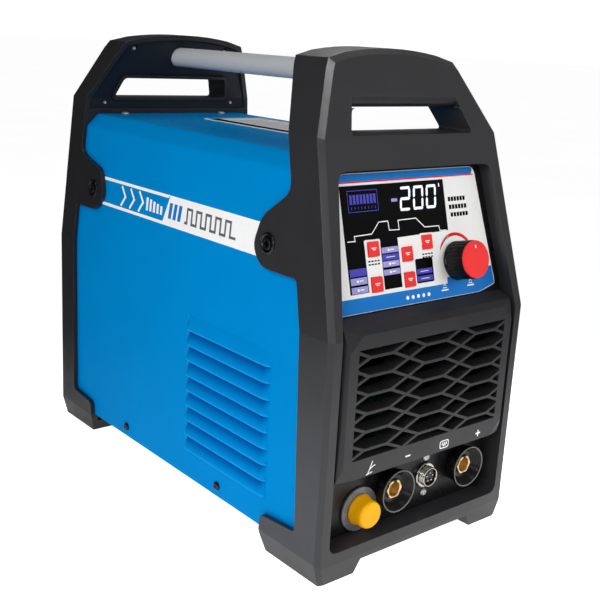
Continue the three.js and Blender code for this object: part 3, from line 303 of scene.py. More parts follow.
LOOK = {
    "frame_plastic": moulded("black_moulding", srgb(44, 44, 46), 0.36, edge_mm=0.6, edge_gain=5),
    "tube_alloy": painted("silver_tube_paint", srgb(192, 194, 197), 0.35, gloss=0.5),
    # Cover blue: the darker blue is painted shade in recesses and under the louvre lips, the bright blue a painted
    # highlight along the lips.
    "cover_paint": painted("blue_powder_coat", srgb(0, 133, 203), edge_mm=0.8, gloss=0.008,
                           tint=srgb(0, 150, 235), painted_shade=srgb(0, 80, 160), bright=srgb(30, 152, 222)),
    "zinc_sheet": metal("zinc_sheet", srgb(150, 152, 156), 0.42, brush=(1, 1, 1), brush_mm=5, stain=0.7),
    "label_film": film("label_film", srgb(232, 234, 236), 0.35),
    "overlay_film": film("overlay_film", srgb(240, 240, 238), 0.3),
    "lens_plastic": film("lens_plastic", srgb(8, 8, 10), 0.12),
    "knob_black": moulded("knob_black", srgb(10, 10, 12), 0.25, 0.4, 0.01, 0.3, 2.0, gloss=0.2),
    "red_plastic": moulded("red_plastic", srgb(236, 40, 38), 0.4, 0.4, 0.01, 0.3, 1.3),
    "circuit_board": circuit_board("circuit_board"),
    "plated_steel": metal("plated_steel", srgb(232, 232, 234), 0.42, brush_mm=1.5),
    "socket_plastic": moulded("socket_black", srgb(12, 12, 14), 0.24, 0.4, 0.008, 0.45, 8, gloss=0.35),
    "contact_brass": metal("contact_brass", srgb(255, 226, 168), 0.38, brush_mm=0.8),
    "nickel_plate": metal("nickel_plate", srgb(206, 202, 192), 0.18, brush_mm=0.8),
    "washer_grey": moulded("washer_grey", srgb(112, 112, 116), 0.25, 0.5, 0.01, 0.3, 1.2),
    "yellow_plastic": moulded("yellow_plastic", srgb(245, 174, 2), 0.4, 0.5, 0.01, 0.5, 1.05, gloss=0.2),
    "rear_paint": painted("rear_black_paint", srgb(44, 44, 47), 0.45, gloss=0.3),
    "fan_plastic": moulded("fan_plastic", srgb(26, 26, 28), 0.5, 0.5, 0.02, 0.4),
    "cable_rubber": moulded("cable_rubber", srgb(24, 24, 25), 0.7, 0.8, 0.05, 0.6, 1.3),
    "black_steel": metal("black_steel", srgb(70, 70, 74), 0.3, brush_mm=0.8),
    "heatsink_alloy": metal("heatsink_alloy", srgb(178, 181, 184), 0.4, brush=(1, 0.05, 1)),
    "winding_copper": winding("winding_copper"),
}
WHITE_INK = film("white_ink", srgb(250, 250, 250), 0.35)
BLUE_INK = film("blue_ink", srgb(26, 118, 198), 0.3)
RED_INK = film("red_ink", srgb(226, 22, 40), 0.3)
BLACK_INK = film("black_ink", srgb(6, 6, 8), 0.22)
LILAC_INK = film("lilac_ink", srgb(158, 154, 214), 0.3)
VIOLET_INK = film("violet_ink", srgb(76, 74, 178), 0.3)
GREY_INK = film("grey_ink", srgb(96, 98, 104), 0.4)
# Lighter grey painted on the socket lips as a highlight line.
LIP_HIGHLIGHT_GREY = moulded("socket_rim_highlight", srgb(104, 102, 100), 0.25, 0.4, 0.008, 0.3, 1.2)
DIGIT_LIGHT = film("digit_light", srgb(236, 238, 255), 0.3, glow=0.35)

SHADED_LOOK = {  # darker copies of their slot's plastic: painted shade on the fascia recess, the grille ribs and the rear frame; on the rear arch plate painted shade with a painted blue reflection of the roof
    "fascia": moulded("recess_black_shaded", srgb(18, 18, 20), 0.3, edge_mm=0.6, edge_gain=6, gloss=0.3),
    "grille_bezel": moulded("grille_black_shaded", srgb(37, 37, 39), 0.36, edge_mm=0.28, edge_gain=3, gloss=0.4),
    "rear_frame": moulded("rear_moulding_shaded", srgb(32, 32, 34), 0.4, edge_mm=0.6, edge_gain=5, gloss=0.35),
    "rear_arch_plate": moulded("arch_plate", srgb(20, 24, 32), 0.42, edge_mm=0.5, edge_gain=3, gloss=0.3),
}

for entry in frame["record"]["subparts"]:
    node = frame["nodes"][entry["node"]]
    node.data.materials.clear()
    node.data.materials.append(SHADED_LOOK.get(entry["node"], LOOK[entry["material_slot"]]))


# ------------------------------------------------------------------ mesh helpers
def piece(name, vertices, faces, material, body="housing", crease=30):
    """One visible piece from millimetre vertices, riding on a CAD body."""
    mesh = bpy.data.meshes.new(name)
    mesh.from_pydata([Vector(v) * MM for v in vertices], [], faces)
    mesh.validate()
    work = bmesh.new()
    work.from_mesh(mesh)
    bmesh.ops.recalc_face_normals(work, faces=work.faces)
    work.to_mesh(mesh)
    work.free()
    mesh.materials.append(material)
    mesh.shade_smooth()
    mesh.set_sharp_from_angle(angle=math.radians(crease))
    thing = bpy.data.objects.new(name, mesh)
    bpy.context.scene.collection.objects.link(thing)
    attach(thing, body)
    return thing


class Sheet:
    """A flat face in millimetres: an origin, two directions along it, and the way out."""

    def __init__(self, origin, across, up):
        self.origin = Vector(origin)
        self.across = Vector(across).normalized()
        self.up = Vector(up).normalized()
        self.out = self.across.cross(self.up)

    def at(self, a, b, height=0):
        return self.origin + self.across * a + self.up * b + self.out * height


def box_of(name):
    """Lowest and highest corner of a CAD node, in millimetres."""
    low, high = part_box(name)
    return low / MM, high / MM


def printed(name, sheet, outlines, low, high, material, body="housing"):
    """Thin flat pieces on a sheet, from height low to height high."""
    vertices, faces = [], []
    for outline in outlines:
        start, count = len(vertices), len(outline)
        vertices += [sheet.at(a, b, low) for a, b in outline]
        vertices += [sheet.at(a, b, high) for a, b in outline]
        faces.append(tuple(range(start, start + count)))
        faces.append(tuple(range(start + count, start + 2 * count)))
        for i in range(count):
            j = (i + 1) % count
            faces.append((start + i, start + j, start + count + j, start + count + i))
    return piece(name, vertices, faces, material, body)


def rectangle(a0, a1, b0, b1):
    return [(a0, b0), (a1, b0), (a1, b1), (a0, b1)]


def soften(corners, steps=5):
    """Outline with rounded corners; each corner is (a, b, radius)."""
    points = []
    count = len(corners)
    for i, (a, b, radius) in enumerate(corners):
        corner = Vector((a, b))
        if radius == 0:
            points.append((a, b))
            continue
        before = Vector(corners[i - 1][:2]) - corner
        after = Vector(corners[(i + 1) % count][:2]) - corner
        start = corner + before.normalized() * radius
        end = corner + after.normalized() * radius
        for k in range(steps + 1):
            t = k / steps
            points.append(tuple(start * (1 - t) ** 2 + corner * 2 * t * (1 - t) + end * t ** 2))
    return points


def rounded_box(a0, a1, b0, b1, radius):
    return soften([(a0, b0, radius), (a1, b0, radius), (a1, b1, radius), (a0, b1, radius)])


def stroke(points, width):
    """Outline of a line of the given width with mitred bends."""
    points = [Vector(point) for point in points]
    left, right = [], []
    last = len(points) - 1
    for i, point in enumerate(points):
        before = (point - points[i - 1]).normalized() if i > 0 else (points[1] - point).normalized()
        after = (points[i + 1] - point).normalized() if i < last else before
        side = Vector((-before.y, before.x))
        other = Vector((-after.y, after.x))
        reach = (side + other) * (width / 2) / (1 + side.dot(other))
        left.append(tuple(point + reach))
        right.append(tuple(point - reach))
    return left + right[::-1]


def circle(a, b, radius, count=32):
    return arc_points(a, b, radius, 0, 360 * (1 - 1 / count), count - 1)


def arc_points(a, b, radius, start_deg, end_deg, steps=20):
    points = []
    for i in range(steps + 1):
        angle = math.radians(start_deg + (end_deg - start_deg) * i / steps)
        points.append((a + radius * math.cos(angle), b + radius * math.sin(angle)))
    return points


def border(a0, a1, b0, b1, width):
    """Four bars that frame a rectangle."""
    return [
        rectangle(a0, a1, b0, b0 + width),
        rectangle(a0, a1, b1 - width, b1),
        rectangle(a0, a0 + width, b0 + width, b1 - width),
        rectangle(a1 - width, a1, b0 + width, b1 - width),
    ]


def turned(sheet, a, b, profile, count=48, ripple=None):
    """Vertices and faces of a turned body; profile rows are (radius, height)."""
    vertices, faces, rings = [], [], []
    for radius, height in profile:
        ring = []
        if radius == 0:
            ring = [len(vertices)] * count
            vertices.append(sheet.at(a, b, height))
        else:
            for i in range(count):
                angle = 2 * math.pi * i / count
                reach = radius if ripple is None else ripple(radius, height, i)
                ring.append(len(vertices))
                vertices.append(sheet.at(a + reach * math.cos(angle), b + reach * math.sin(angle), height))
        rings.append(ring)
    closed = profile[0][0] != 0
    pairs = list(zip(rings, rings[1:]))
    if closed:
        pairs.append((rings[-1], rings[0]))
    for lower, upper in pairs:
        for i in range(count):
            j = (i + 1) % count
            face = []
            for corner in (lower[i], lower[j], upper[j], upper[i]):
                if corner not in face:
                    face.append(corner)
            if len(face) > 2:
                faces.append(tuple(face))
    return vertices, faces


def ease_corner(profile, radius, steps=4):
    """Turned profile whose inner rows are rounded by small arcs."""
    out = [profile[0]]
    for before, corner, after in zip(profile, profile[1:], profile[2:]):
        here = Vector(corner)
        back = Vector(before) - here
        ahead = Vector(after) - here
        size = min(radius, back.length * 0.45, ahead.length * 0.45)
        start = here + back.normalized() * size
        end = here + ahead.normalized() * size
        for k in range(steps + 1):
            t = k / steps
            point = start * (1 - t) ** 2 + here * 2 * t * (1 - t) + end * t ** 2
            out.append((max(point.x, 0), point.y))
    out.append(profile[-1])
    return out


# ------------------------------------------------------------------ control panel
KNOB_U, KNOB_V = 45.4, 31.0  # knob axis from the middle of the panel's lower edge
KEYS = {1: (-51.3, 50.3), 2: (-51.2, 21.5), 3: (-13.5, 42.7), 4: (-13.4, 21.3), 5: (11.2, 50.5)}
KEY_TOP = 1.3
LAYER = 0.05  # thickness of one printed layer
LENS_TOP = 0.2


def panel_sheet():
    knob = next(j for j in frame["joints"] if j["name"] == "knob_turn")
    out = Vector(knob["axis"]).normalized()
    across = Vector((1, 0, 0))
    up = out.cross(across)
    points = [v.co / MM for v in frame["nodes"]["control_overlay"].data.vertices]
    face = max(point.dot(out) for point in points)
    origin = Vector(knob["pos_m"]) / MM - across * KNOB_U - up * KNOB_V
    origin += out * (face - origin.dot(out))
    return Sheet(origin, across, up)


PANEL = panel_sheet()
SLANT = 0.115


def digit_outlines(lit, left, bottom, width, height, bar):
    """Outlines of the lit bars of one seven-segment digit, leaning to the right."""
    gap = 0.35
    half = bar / 2
    mid = height / 2

    def flat(y):
        return [(gap, y), (gap + half, y - half), (width - gap - half, y - half), (width - gap, y),
                (width - gap - half, y + half), (gap + half, y + half)]

    def upright(x, y0, y1):
        return [(x, y0 + gap), (x + half, y0 + gap + half), (x + half, y1 - gap - half), (x, y1 - gap),
                (x - half, y1 - gap - half), (x - half, y0 + gap + half)]

    bars = {
        "a": flat(height - half),
        "g": flat(mid),
        "d": flat(half),
        "f": upright(half, mid, height - half),
        "b": upright(width - half, mid, height - half),
        "e": upright(half, half, mid),
        "c": upright(width - half, half, mid),
    }
    return [[(left + x + (y - mid) * SLANT, bottom + y) for x, y in bars[name]] for name in lit]


def digits():
    outlines = []
    for i, lit in enumerate(("abged", "abcdef", "abcdef")):
        outlines += digit_outlines(lit, -15.4 + i * 15.6, 78.3, 12.4, 20.0, 2.3)
    outlines.append([(32.2, 96), (33.6, 96), (33.2, 99), (32.4, 99)])
    printed("display_digits", PANEL, outlines, LENS_TOP - 0.01, LENS_TOP + LAYER, DIGIT_LIGHT)
    tag = [rounded_box(-25.4, -18.6, 86.6, 89.2, 0.6)]
    printed("display_tag", PANEL, tag, LENS_TOP - 0.01, LENS_TOP + LAYER, LILAC_INK)


def gauge_box():
    """Level gauge at the left of the display: a row of even blocks over a scale of ticks."""
    outlines = border(-73.4, -40.5, 80.7, 98.1, 0.5)
    for i in range(8):
        left = -71.2 + i * 3.7
        outlines.append(rectangle(left, left + 2.6, 87, 94.6))
        outlines.append(rectangle(left + 1, left + 1.6, 83, 85))
    printed("display_gauge", PANEL, outlines, LENS_TOP - 0.01, LENS_TOP + LAYER, VIOLET_INK)


def weld_curve():
    """Line that shows the course of the welding current."""
    course = [(-77.9, 58.2), (-69.8, 58), (-70.1, 62), (-51, 62.4), (-41.9, 71.3), (-31.7, 71.4), (-31, 63.8),
              (-19.7, 63.4), (-20, 71.1), (1.1, 71.3), (10.7, 63.1), (28.1, 62.8), (29, 58.5), (37.1, 58.4)]
    printed("weld_curve", PANEL, [stroke(course, 0.75)], 2 * LAYER, 3 * LAYER, WHITE_INK)


def overlay_half(v):
    """Half width of the overlay at height v, less a hairline margin."""
    return 94.5 - (94.5 - 79.9) * v / 111.7 - 0.5


def panel_bands():
    """Blue bands along the top and bottom edge and the red pinstripe."""
    top = soften([(-overlay_half(105), 105, 0), (-5, 105, 0), (overlay_half(105) - 4.5, 105, 0),
                  (overlay_half(111), 111.2, 6), (-overlay_half(111.2), 111.2, 6)])
    low = soften([(-overlay_half(0.9), 0.9, 2.6), (72.3, 0.9, 1.6), (93.2, 6.1, 2), (overlay_half(22.2), 22.2, 0),
                  (32, 17.8, 0), (32, 12.6, 0), (-overlay_half(13), 13, 0)])
    printed("panel_blue", PANEL, [top, low], 0, LAYER, BLUE_INK)
    stripe = [(-overlay_half(104), 103.9), (78.6, 103.9), (78.4, 105), (-overlay_half(105), 105)]
    printed("panel_pinstripe", PANEL, [stripe], 0, LAYER, RED_INK)


def panel_black():
    """Black field of the display with its two columns, and the small right-hand window."""
    field = [(-80.7, 16.1), (-60.4, 16.1), (-60.4, 56), (-42.7, 56), (-42.7, 16.2), (-22.6, 16.2), (-22.6, 57),
             (39.4, 58), (38.7, 102), (-80.9, 102)]
    window = rounded_box(-4.9, 16, 16.7, 37.3, 1.6)
    printed("panel_black", PANEL, [field, window], 0, LAYER, BLACK_INK)
    notches = [
        soften([(-60.5, 54, 0), (-42.6, 54, 0), (-42.6, 57.8, 1.8), (-60.5, 58.1, 1.8)]),
        soften([(-22.7, 48, 0), (-22.7, 49.9, 1.4), (-6.6, 49.6, 2.2), (2.6, 54.6, 2.2), (3.6, 58.3, 1.6),
                (19.4, 58, 1.6), (24, 56.8, 2), (39.6, 58.2, 0), (39.6, 48, 0)]),
    ]
    printed("panel_notches", PANEL, notches, LAYER - 0.01, 2 * LAYER, LOOK["overlay_film"])


def legend_blocks():
    """Coloured legend fields; the wording is replaced by short bars."""
    lilac = [rectangle(-79, -61.2, 23.4, 29), rectangle(-78.9, -61.2, 16.6, 21.8),
             rectangle(-42, -23.2, 45.6, 50.4), rectangle(-42, -23.2, 34.2, 39)]
    lilac.append(rectangle(-42, -23.2, 27.6, 32.2))
    violet = [rectangle(-79.2, -61.2, 30.2, 36.2), rectangle(-42, -23.2, 39.8, 44.6),
              rectangle(-4.2, 14.6, 24.2, 28.6), rectangle(-4.2, 14.6, 18, 22.6)]
    printed("legend_lilac", PANEL, lilac, LAYER - 0.01, 2 * LAYER, LILAC_INK)
    printed("legend_violet", PANEL, violet, LAYER - 0.01, 2 * LAYER, VIOLET_INK)
    marks = []
    for u, v in ((-70, 26.2), (-70, 19.2), (-32.6, 48), (-32.6, 36.6), (-32.6, 29.9)):
        marks += [rectangle(u - 2.6, u - 0.6, v - 0.9, v + 0.9), rectangle(u + 0.2, u + 4.6, v - 0.3, v + 0.5)]
    marks += [rectangle(u - 5, u + 5, v - 0.25, v + 0.25) for u, v in ((5.2, 26.4), (5.2, 20.3), (-32.6, 42.2))]
    printed("legend_marks", PANEL, marks, 2 * LAYER - 0.01, 3 * LAYER, WHITE_INK)
    ticks = []
    for u, v in ((-51.3, 40.6), (11.2, 40.4)):
        for row in (0, 2.6):
            ticks += [rectangle(u - 6.6 + 3.4 * k, u - 4.2 + 3.4 * k, v - row - 0.6, v - row + 0.6) for k in range(4)]
    printed("legend_ticks", PANEL, ticks, 0, LAYER, BLACK_INK)


def panel_scale():
    """Red scale arc round the knob and the two adjustment symbols below it."""
    start, end, steps = 150, 42, 36
    rim = [[], []]
    for k in range(steps + 1):
        share = k / steps
        angle = math.radians(start + (end - start) * share)
        inner = 21.2 + 0.9 * share
        outer = inner + 0.5 + 2.3 * min(1, share / 0.3) ** 0.7
        for side, radius in zip(rim, (outer, inner)):
            side.append((KNOB_U + radius * math.cos(angle), KNOB_V + radius * math.sin(angle)))
    printed("knob_scale", PANEL, [rim[0] + rim[1][::-1]], LAYER, 2 * LAYER, RED_INK)
    symbols = []
    for u, v in ((28, 9.2), (61.2, 9.8)):
        symbols += [stroke([(u - 1.6, v + 1.4), (u, v + 3.6), (u + 1.6, v + 1.4)], 0.5)]
        symbols += [rectangle(u - 2.4, u + 2.4, v - 0.2, v + 0.5), rectangle(u - 4.4, u + 4.4, v - 2.4, v - 1.2)]
    symbols += [circle(-18 + 6.4 * k, 6.4, 1.7, 20) for k in range(5)]
    printed("panel_symbols", PANEL, symbols, LAYER - 0.01, 2 * LAYER, WHITE_INK)


def rating_bars():
    """Three plain bars where the type description stands."""
    bars = [rectangle(43, 65.4, 82.6, 86.4), rectangle(43.4, 66.6, 75.8, 79.6), rectangle(44.6, 67.6, 69.2, 72.8)]
    split = []
    for bar in bars:
        a0, a1, b0, b1 = bar[0][0], bar[1][0], bar[0][1], bar[2][1]
        step = (a1 - a0) / 6
        split += [rectangle(a0 + step * k, a0 + step * (k + 0.8), b0, b1) for k in range(6)]
    printed("rating_bars", PANEL, split, 0, LAYER, BLACK_INK)


def key_marks():
    for number, (u, v) in KEYS.items():
        marks = [rectangle(u - 2.6, u + 2.6, v + 0.3, v + 1.1), rectangle(u - 1.6, u + 1.6, v - 1, v - 0.3)]
        printed(f"key_mark_{number}", PANEL, marks, KEY_TOP, KEY_TOP + LAYER, WHITE_INK, f"key_{number}")


def build_panel():
    panel_bands()
    panel_black()
    legend_blocks()
    weld_curve()
    digits()
    gauge_box()
    panel_scale()
    rating_bars()
    key_marks()


build_panel()


# ------------------------------------------------------------------ sheet metal cover
CREASE_Z, SIDE_TOP_Z = 210.2, 331.7  # heights where the side starts to taper and ends
SIDE_TOP_W, ROOF_W = 102.0, 89.7  # half widths at the top of the side and at the roof
LOUVRE_RISE = 4.0
SHEET_THICK = 1.2
COVER_LOW, COVER_HIGH = box_of("cover")
SIDE_W = COVER_HIGH.x - LOUVRE_RISE
ROOF_Z = COVER_HIGH.z
FRONT_EDGE, REAR_EDGE = COVER_LOW.y, COVER_HIGH.y
FRONT_LEAN, REAR_LEAN = 41.2 / 150.2, 7.1 / 150.2  # lean of the end faces above the crease
LOUVRES = 9
LOUVRE_Z, LOUVRE_PITCH, LOUVRE_TALL = 50.0, 14.8, 13.8
LOUVRE_FRONT, LOUVRE_REAR, LOUVRE_CORNER = -151.0, -25.0, 8.0
LOUVRE_SUNK = 0.9  # how far the sheet dips behind the lip above it


LOUVRE_ROWS = (-0.03, 0.0) + tuple(math.sin(math.radians(10 * k)) for k in range(1, 10))


def cover_section():
    """Outer line of half the cover section from sill to roof: (x, z) rows with soft folds."""
    rows = [(SIDE_W, COVER_LOW.z, None), (SIDE_W, LOUVRE_Z - 8, None)]
    for i in range(LOUVRES):
        for t in LOUVRE_ROWS:
            rows.append((SIDE_W, LOUVRE_Z + i * LOUVRE_PITCH, t))
    folds = [((SIDE_W, 190), (SIDE_W, CREASE_Z), (SIDE_W, 181), 18),
             ((SIDE_W, CREASE_Z), (SIDE_TOP_W, SIDE_TOP_Z), (ROOF_W, ROOF_Z), 2.5),
             ((SIDE_TOP_W, SIDE_TOP_Z), (ROOF_W, ROOF_Z), (0, ROOF_Z), 2.5)]
    crease = [Vector((SIDE_W, COVER_LOW.z)), Vector((SIDE_W, CREASE_Z)), Vector((SIDE_TOP_W, SIDE_TOP_Z)),
              Vector((ROOF_W, ROOF_Z)), Vector((0, ROOF_Z))]
    for i, (_, _, _, radius) in enumerate(folds):
        corner = crease[i + 1]
        start = corner + (crease[i] - corner).normalized() * radius
        end = corner + (crease[i + 2] - corner).normalized() * radius
        for k in range(7):
            t = k / 6
            point = start * (1 - t) ** 2 + corner * 2 * t * (1 - t) + end * t ** 2
            rows.append((point.x, point.y, None))
    rows += [(60, ROOF_Z, None), (20, ROOF_Z, None)]
    return rows


def cover_columns():
    """Positions along the machine: shares of the free length, or millimetres in the louvre zone."""
    ends = [LOUVRE_CORNER * (1 - math.cos(math.radians(11.25 * k))) for k in range(9)]
    middle = [LOUVRE_FRONT + LOUVRE_CORNER + step * 16 for step in range(1, 7)]
    zone = [LOUVRE_FRONT - 3] + [LOUVRE_FRONT + e for e in ends] + middle
    zone += [LOUVRE_REAR - e for e in reversed(ends)] + [LOUVRE_REAR + 3]
    return [FRONT_EDGE, FRONT_EDGE + 14] + zone + [15, 55, 95, 135, 170, REAR_EDGE - 8, REAR_EDGE]


def column_y(y, z):
    """Column position at height z: the columns crowd together where the end faces lean."""
    above = max(0, z - CREASE_Z)
    front = FRONT_EDGE + FRONT_LEAN * above
    rear = REAR_EDGE - REAR_LEAN * above
    share = (y - FRONT_EDGE) / (REAR_EDGE - FRONT_EDGE)
    return front + (rear - front) * share


def louvre_point(base_z, t, y):
    """Height and outward rise of a louvre row at y: a quarter ellipse with rounded ends."""
    reach = min(y - LOUVRE_FRONT, LOUVRE_REAR - y)
    z = base_z + t * LOUVRE_TALL
    if reach <= 0 or t < 0:
        return z, 0
    end = 1 - min(1, reach / LOUVRE_CORNER)
    under_lip = base_z < LOUVRE_Z + (LOUVRES - 1.5) * LOUVRE_PITCH
    sunk = LOUVRE_SUNK * under_lip * max(0, (t - 0.4) / 0.6) ** 2 * (1 - end ** 4)
    swell = math.sqrt(max(0, 1 - t ** 2 - end ** 2)) * (1 - t) ** 0.5
    return z, LOUVRE_RISE * swell - sunk


def louvre_tone(row, t, y):
    """Shade just under the lip above, and gleam along the lip and the round rear end."""
    ahead, behind = y - LOUVRE_FRONT, LOUVRE_REAR - y
    if t is None or min(ahead, behind) <= 0:
        return 0, 0
    under_lip = row < LOUVRES - 1
    shade_here = min(1, max(0, (t - 0.25) / 0.6)) * min(1, ahead / 8) * min(1, behind / 3)
    rim = 0.7 * (behind < 1.5) * (0 < t < 1)
    return shade_here * under_lip, max(rim, float(t == 0))


def build_cover():
    half = cover_section()
    columns = cover_columns()
    full = [(x, z, t, 1) for x, z, t in half] + [(0, ROOF_Z, None, 1)]
    full += [(x, z, t, -1) for x, z, t in reversed(half)]
    count = len(columns)
    outer, inner, tones = [], [], []
    for x, z, t, hand in full:
        for y in columns:
            tones.append(louvre_tone(round((z - LOUVRE_Z) / LOUVRE_PITCH), t, y))
            flat_z = z + (t or 0) * LOUVRE_TALL
            place_z, rise = (flat_z, 0) if t is None else louvre_point(z, t, y)
            outer.append((hand * (x + rise), column_y(y, place_z), place_z))
            in_x = max(0, x - SHEET_THICK * (1 if z < ROOF_Z - 6 else 0.5))
            in_z = flat_z - (SHEET_THICK if z > SIDE_TOP_Z + 4 else 0)
            inner.append((hand * in_x, column_y(y, flat_z), in_z))
    vertices = outer + inner
    shift = len(outer)
    rows = len(full)
    faces = []
    for i in range(rows - 1):
        for j in range(count - 1):
            a, b = i * count + j, i * count + j + 1
            c, d = b + count, a + count
            faces.append((a, b, c, d))
            faces.append((shift + d, shift + c, shift + b, shift + a))
    for i in range(rows - 1):
        for j in (0, count - 1):
            a, d = i * count + j, (i + 1) * count + j
            faces.append((a, d, shift + d, shift + a))
    for j in range(count - 1):
        for i in (0, rows - 1):
            a = i * count + j
            faces.append((a, a + 1, shift + a + 1, shift + a))
    skin = piece("cover_skin", vertices, faces, LOOK["cover_paint"], crease=40)
    # Painted shade and painted highlight values on the louvres, read by the cover paint.
    for name, part in (("shade", 0), ("gleam", 1)):
        layer = skin.data.attributes.new(name, "FLOAT", "POINT")
        for value, tone in zip(layer.data, tones):
            value.value = tone[part]
    # Inner skin takes the dark painted shade.
    skin.data.materials.append(INNER_SHADE)
    for polygon in skin.data.polygons:
        if all(index >= shift for index in polygon.vertices):
            polygon.material_index = 1
    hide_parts("cover")


# ------------------------------------------------------------------ side decal
DECAL_LOW, DECAL_HIGH, DECAL_LINE = 256.1, 284.8, 3.0
DECAL_ENDS = (-152.0, 134.0)  # behind the rear lug and behind the front lug, towards the front


def side_sheet(hand):
    up = Vector((hand * (SIDE_TOP_W - SIDE_W), 0, SIDE_TOP_Z - CREASE_Z))
    return Sheet((hand * SIDE_W, 0, CREASE_Z), (0, hand, 0), up)


def side_print(name, hand, outlines, low, high, material):
    """Outlines are (distance towards the front, height above the floor)."""
    sheet = side_sheet(hand)
    moved = [[(-hand * a, (z - CREASE_Z) / sheet.up.z) for a, z in outline] for outline in outlines]
    printed(f"{name}_{'left' if hand < 0 else 'right'}", sheet, moved, low, high, material)


def build_decal(hand):
    rear, front = DECAL_ENDS
    low, high, line = DECAL_LOW, DECAL_HIGH, DECAL_LINE
    lines = [
        [(rear, high - line), (-22, high - line), (-18.5, high), (rear, high)],
        [(rear, low), (-30, low), (-28.8, low + line), (rear, low + line)],
        [(-30, low), (front, low), (front, high), (-18.5, high)],
    ]
    side_print("decal_white", hand, lines, 0.02, 0.1, WHITE_INK)
    chevrons = []
    for k in range(3):
        a = -108 + 17 * k
        chevrons.append(stroke([(a, 260.6), (a + 8, 270.4), (a, 280.2)], 2.6))
    for k in range(5):
        chevrons.append(rectangle(-60 + 6.4 * k, -56.4 + 6.4 * k, 264.2, 276.8 - 1.1 * k))
    side_print("decal_marks", hand, chevrons, 0.02, 0.1, WHITE_INK)
    bars = [[(-20 + 8 * k, 263.2), (-15 + 8 * k, 263.2), (-13 + 8 * k, 278), (-18 + 8 * k, 278)] for k in range(3)]
    side_print("decal_bars", hand, bars, 0.09, 0.15, BLUE_INK)
    wave = [(8, 264)]
    for k in range(5):
        a = 12 + 15 * k
        wave += [(a, 264), (a, 277), (a + 7.5, 277), (a + 7.5, 264)]
    wave.append((88, 264))
    side_print("decal_wave", hand, [stroke(wave, 2.4)], 0.09, 0.15, GREY_INK)


# ------------------------------------------------------------------ label on the roof
def build_roof_label():
    low, high = box_of("top_label")
    sheet = Sheet((0, 0, high.z), (1, 0, 0), (0, 1, 0))
    x0, x1, y0, y1 = low.x, high.x, low.y, high.y
    black = rounded_box(x0 + 3, x1 - 3, y0 + 3, y1 - 3, 2)
    printed("roof_label_black", sheet, [black], 0, LAYER, BLACK_INK)
    field = rounded_box(x0 + 16, x1 - 6, y0 + 6, y1 - 6, 1.5)
    printed("roof_label_field", sheet, [field], LAYER - 0.01, 2 * LAYER, LOOK["label_film"])
    rules = []
    for k in range(26):
        a = x0 + 19 + (k % 2) * 1.5
        b = y0 + 12 + k * 6
        rules.append(rectangle(a, x1 - 9 - (k * 7 % 5) * 3, b, b + 1.6))
    printed("roof_label_rules", sheet, rules, 2 * LAYER - 0.01, 3 * LAYER, GREY_INK)


# ------------------------------------------------------------------ front symbols
def build_front_symbols():
    low, high = box_of("grille_bezel")
    face = Sheet((0, low.y, 0), (1, 0, 0), (0, 0, 1))
    z = low.z + 7.2
    torch = [stroke([(-64.6, z + 6), (-69.4, z - 4.2)], 0.9), stroke([(-67.6, z - 0.6), (-62.6, z + 1.8), (-61.4, z + 1.6)], 0.9),
             stroke([(-71.2, z - 5), (-64.4, z - 3.6)], 0.9)]
    minus = [rectangle(-26, -20, z - 0.7, z + 0.7)]
    plus = [rectangle(64.2, 70.4, z - 0.7, z + 0.7), rectangle(66.6, 68, z - 3.1, z - 0.69),
            rectangle(66.6, 68, z + 0.69, z + 3.1)]
    printed("front_symbols", face, torch + minus + plus, 0, LAYER, WHITE_INK)
    rim = rounded_box(16.6, 28, z - 3.8, z + 3.8, 2.4)
    hole = rounded_box(17.5, 27.1, z - 2.9, z + 2.9, 1.8)
    printed("plug_symbol_rim", face, [rim], 0, LAYER, WHITE_INK)
    printed("plug_symbol_field", face, [hole], LAYER - 0.01, LAYER + 0.03, LOOK["frame_plastic"])
    pins = [rectangle(19.4 + 2.4 * k, 20.6 + 2.4 * k, z + 0.5, z + 1.9) for k in range(3)]
    pins += [rectangle(20.6 + 2.4 * k, 21.8 + 2.4 * k, z - 1.9, z - 0.5) for k in range(2)]
    pins.append(rectangle(19, 25.8, z - 0.3, z + 0.3))
    printed("plug_symbol_pins", face, pins, LAYER + 0.02, LAYER + 0.06, WHITE_INK)


# ------------------------------------------------------------------ turned fittings
AHEAD = Sheet((0, 0, 0), (1, 0, 0), (0, 0, 1))  # heights are distances in front of y = 0


def build_tube():
    low, high = box_of("handle_tube")
    radius = (high.x - low.x) / 2
    centre = (low.z + high.z) / 2
    profile = [(0, -high.y), (radius - 0.6, -high.y), (radius, -high.y + 0.6), (radius, -low.y - 0.6),
               (radius - 0.6, -low.y), (0, -low.y)]
    tube = piece("handle_tube_smooth", *turned(AHEAD, 0, centre, profile, 72), LOOK["tube_alloy"])
    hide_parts("handle_tube")


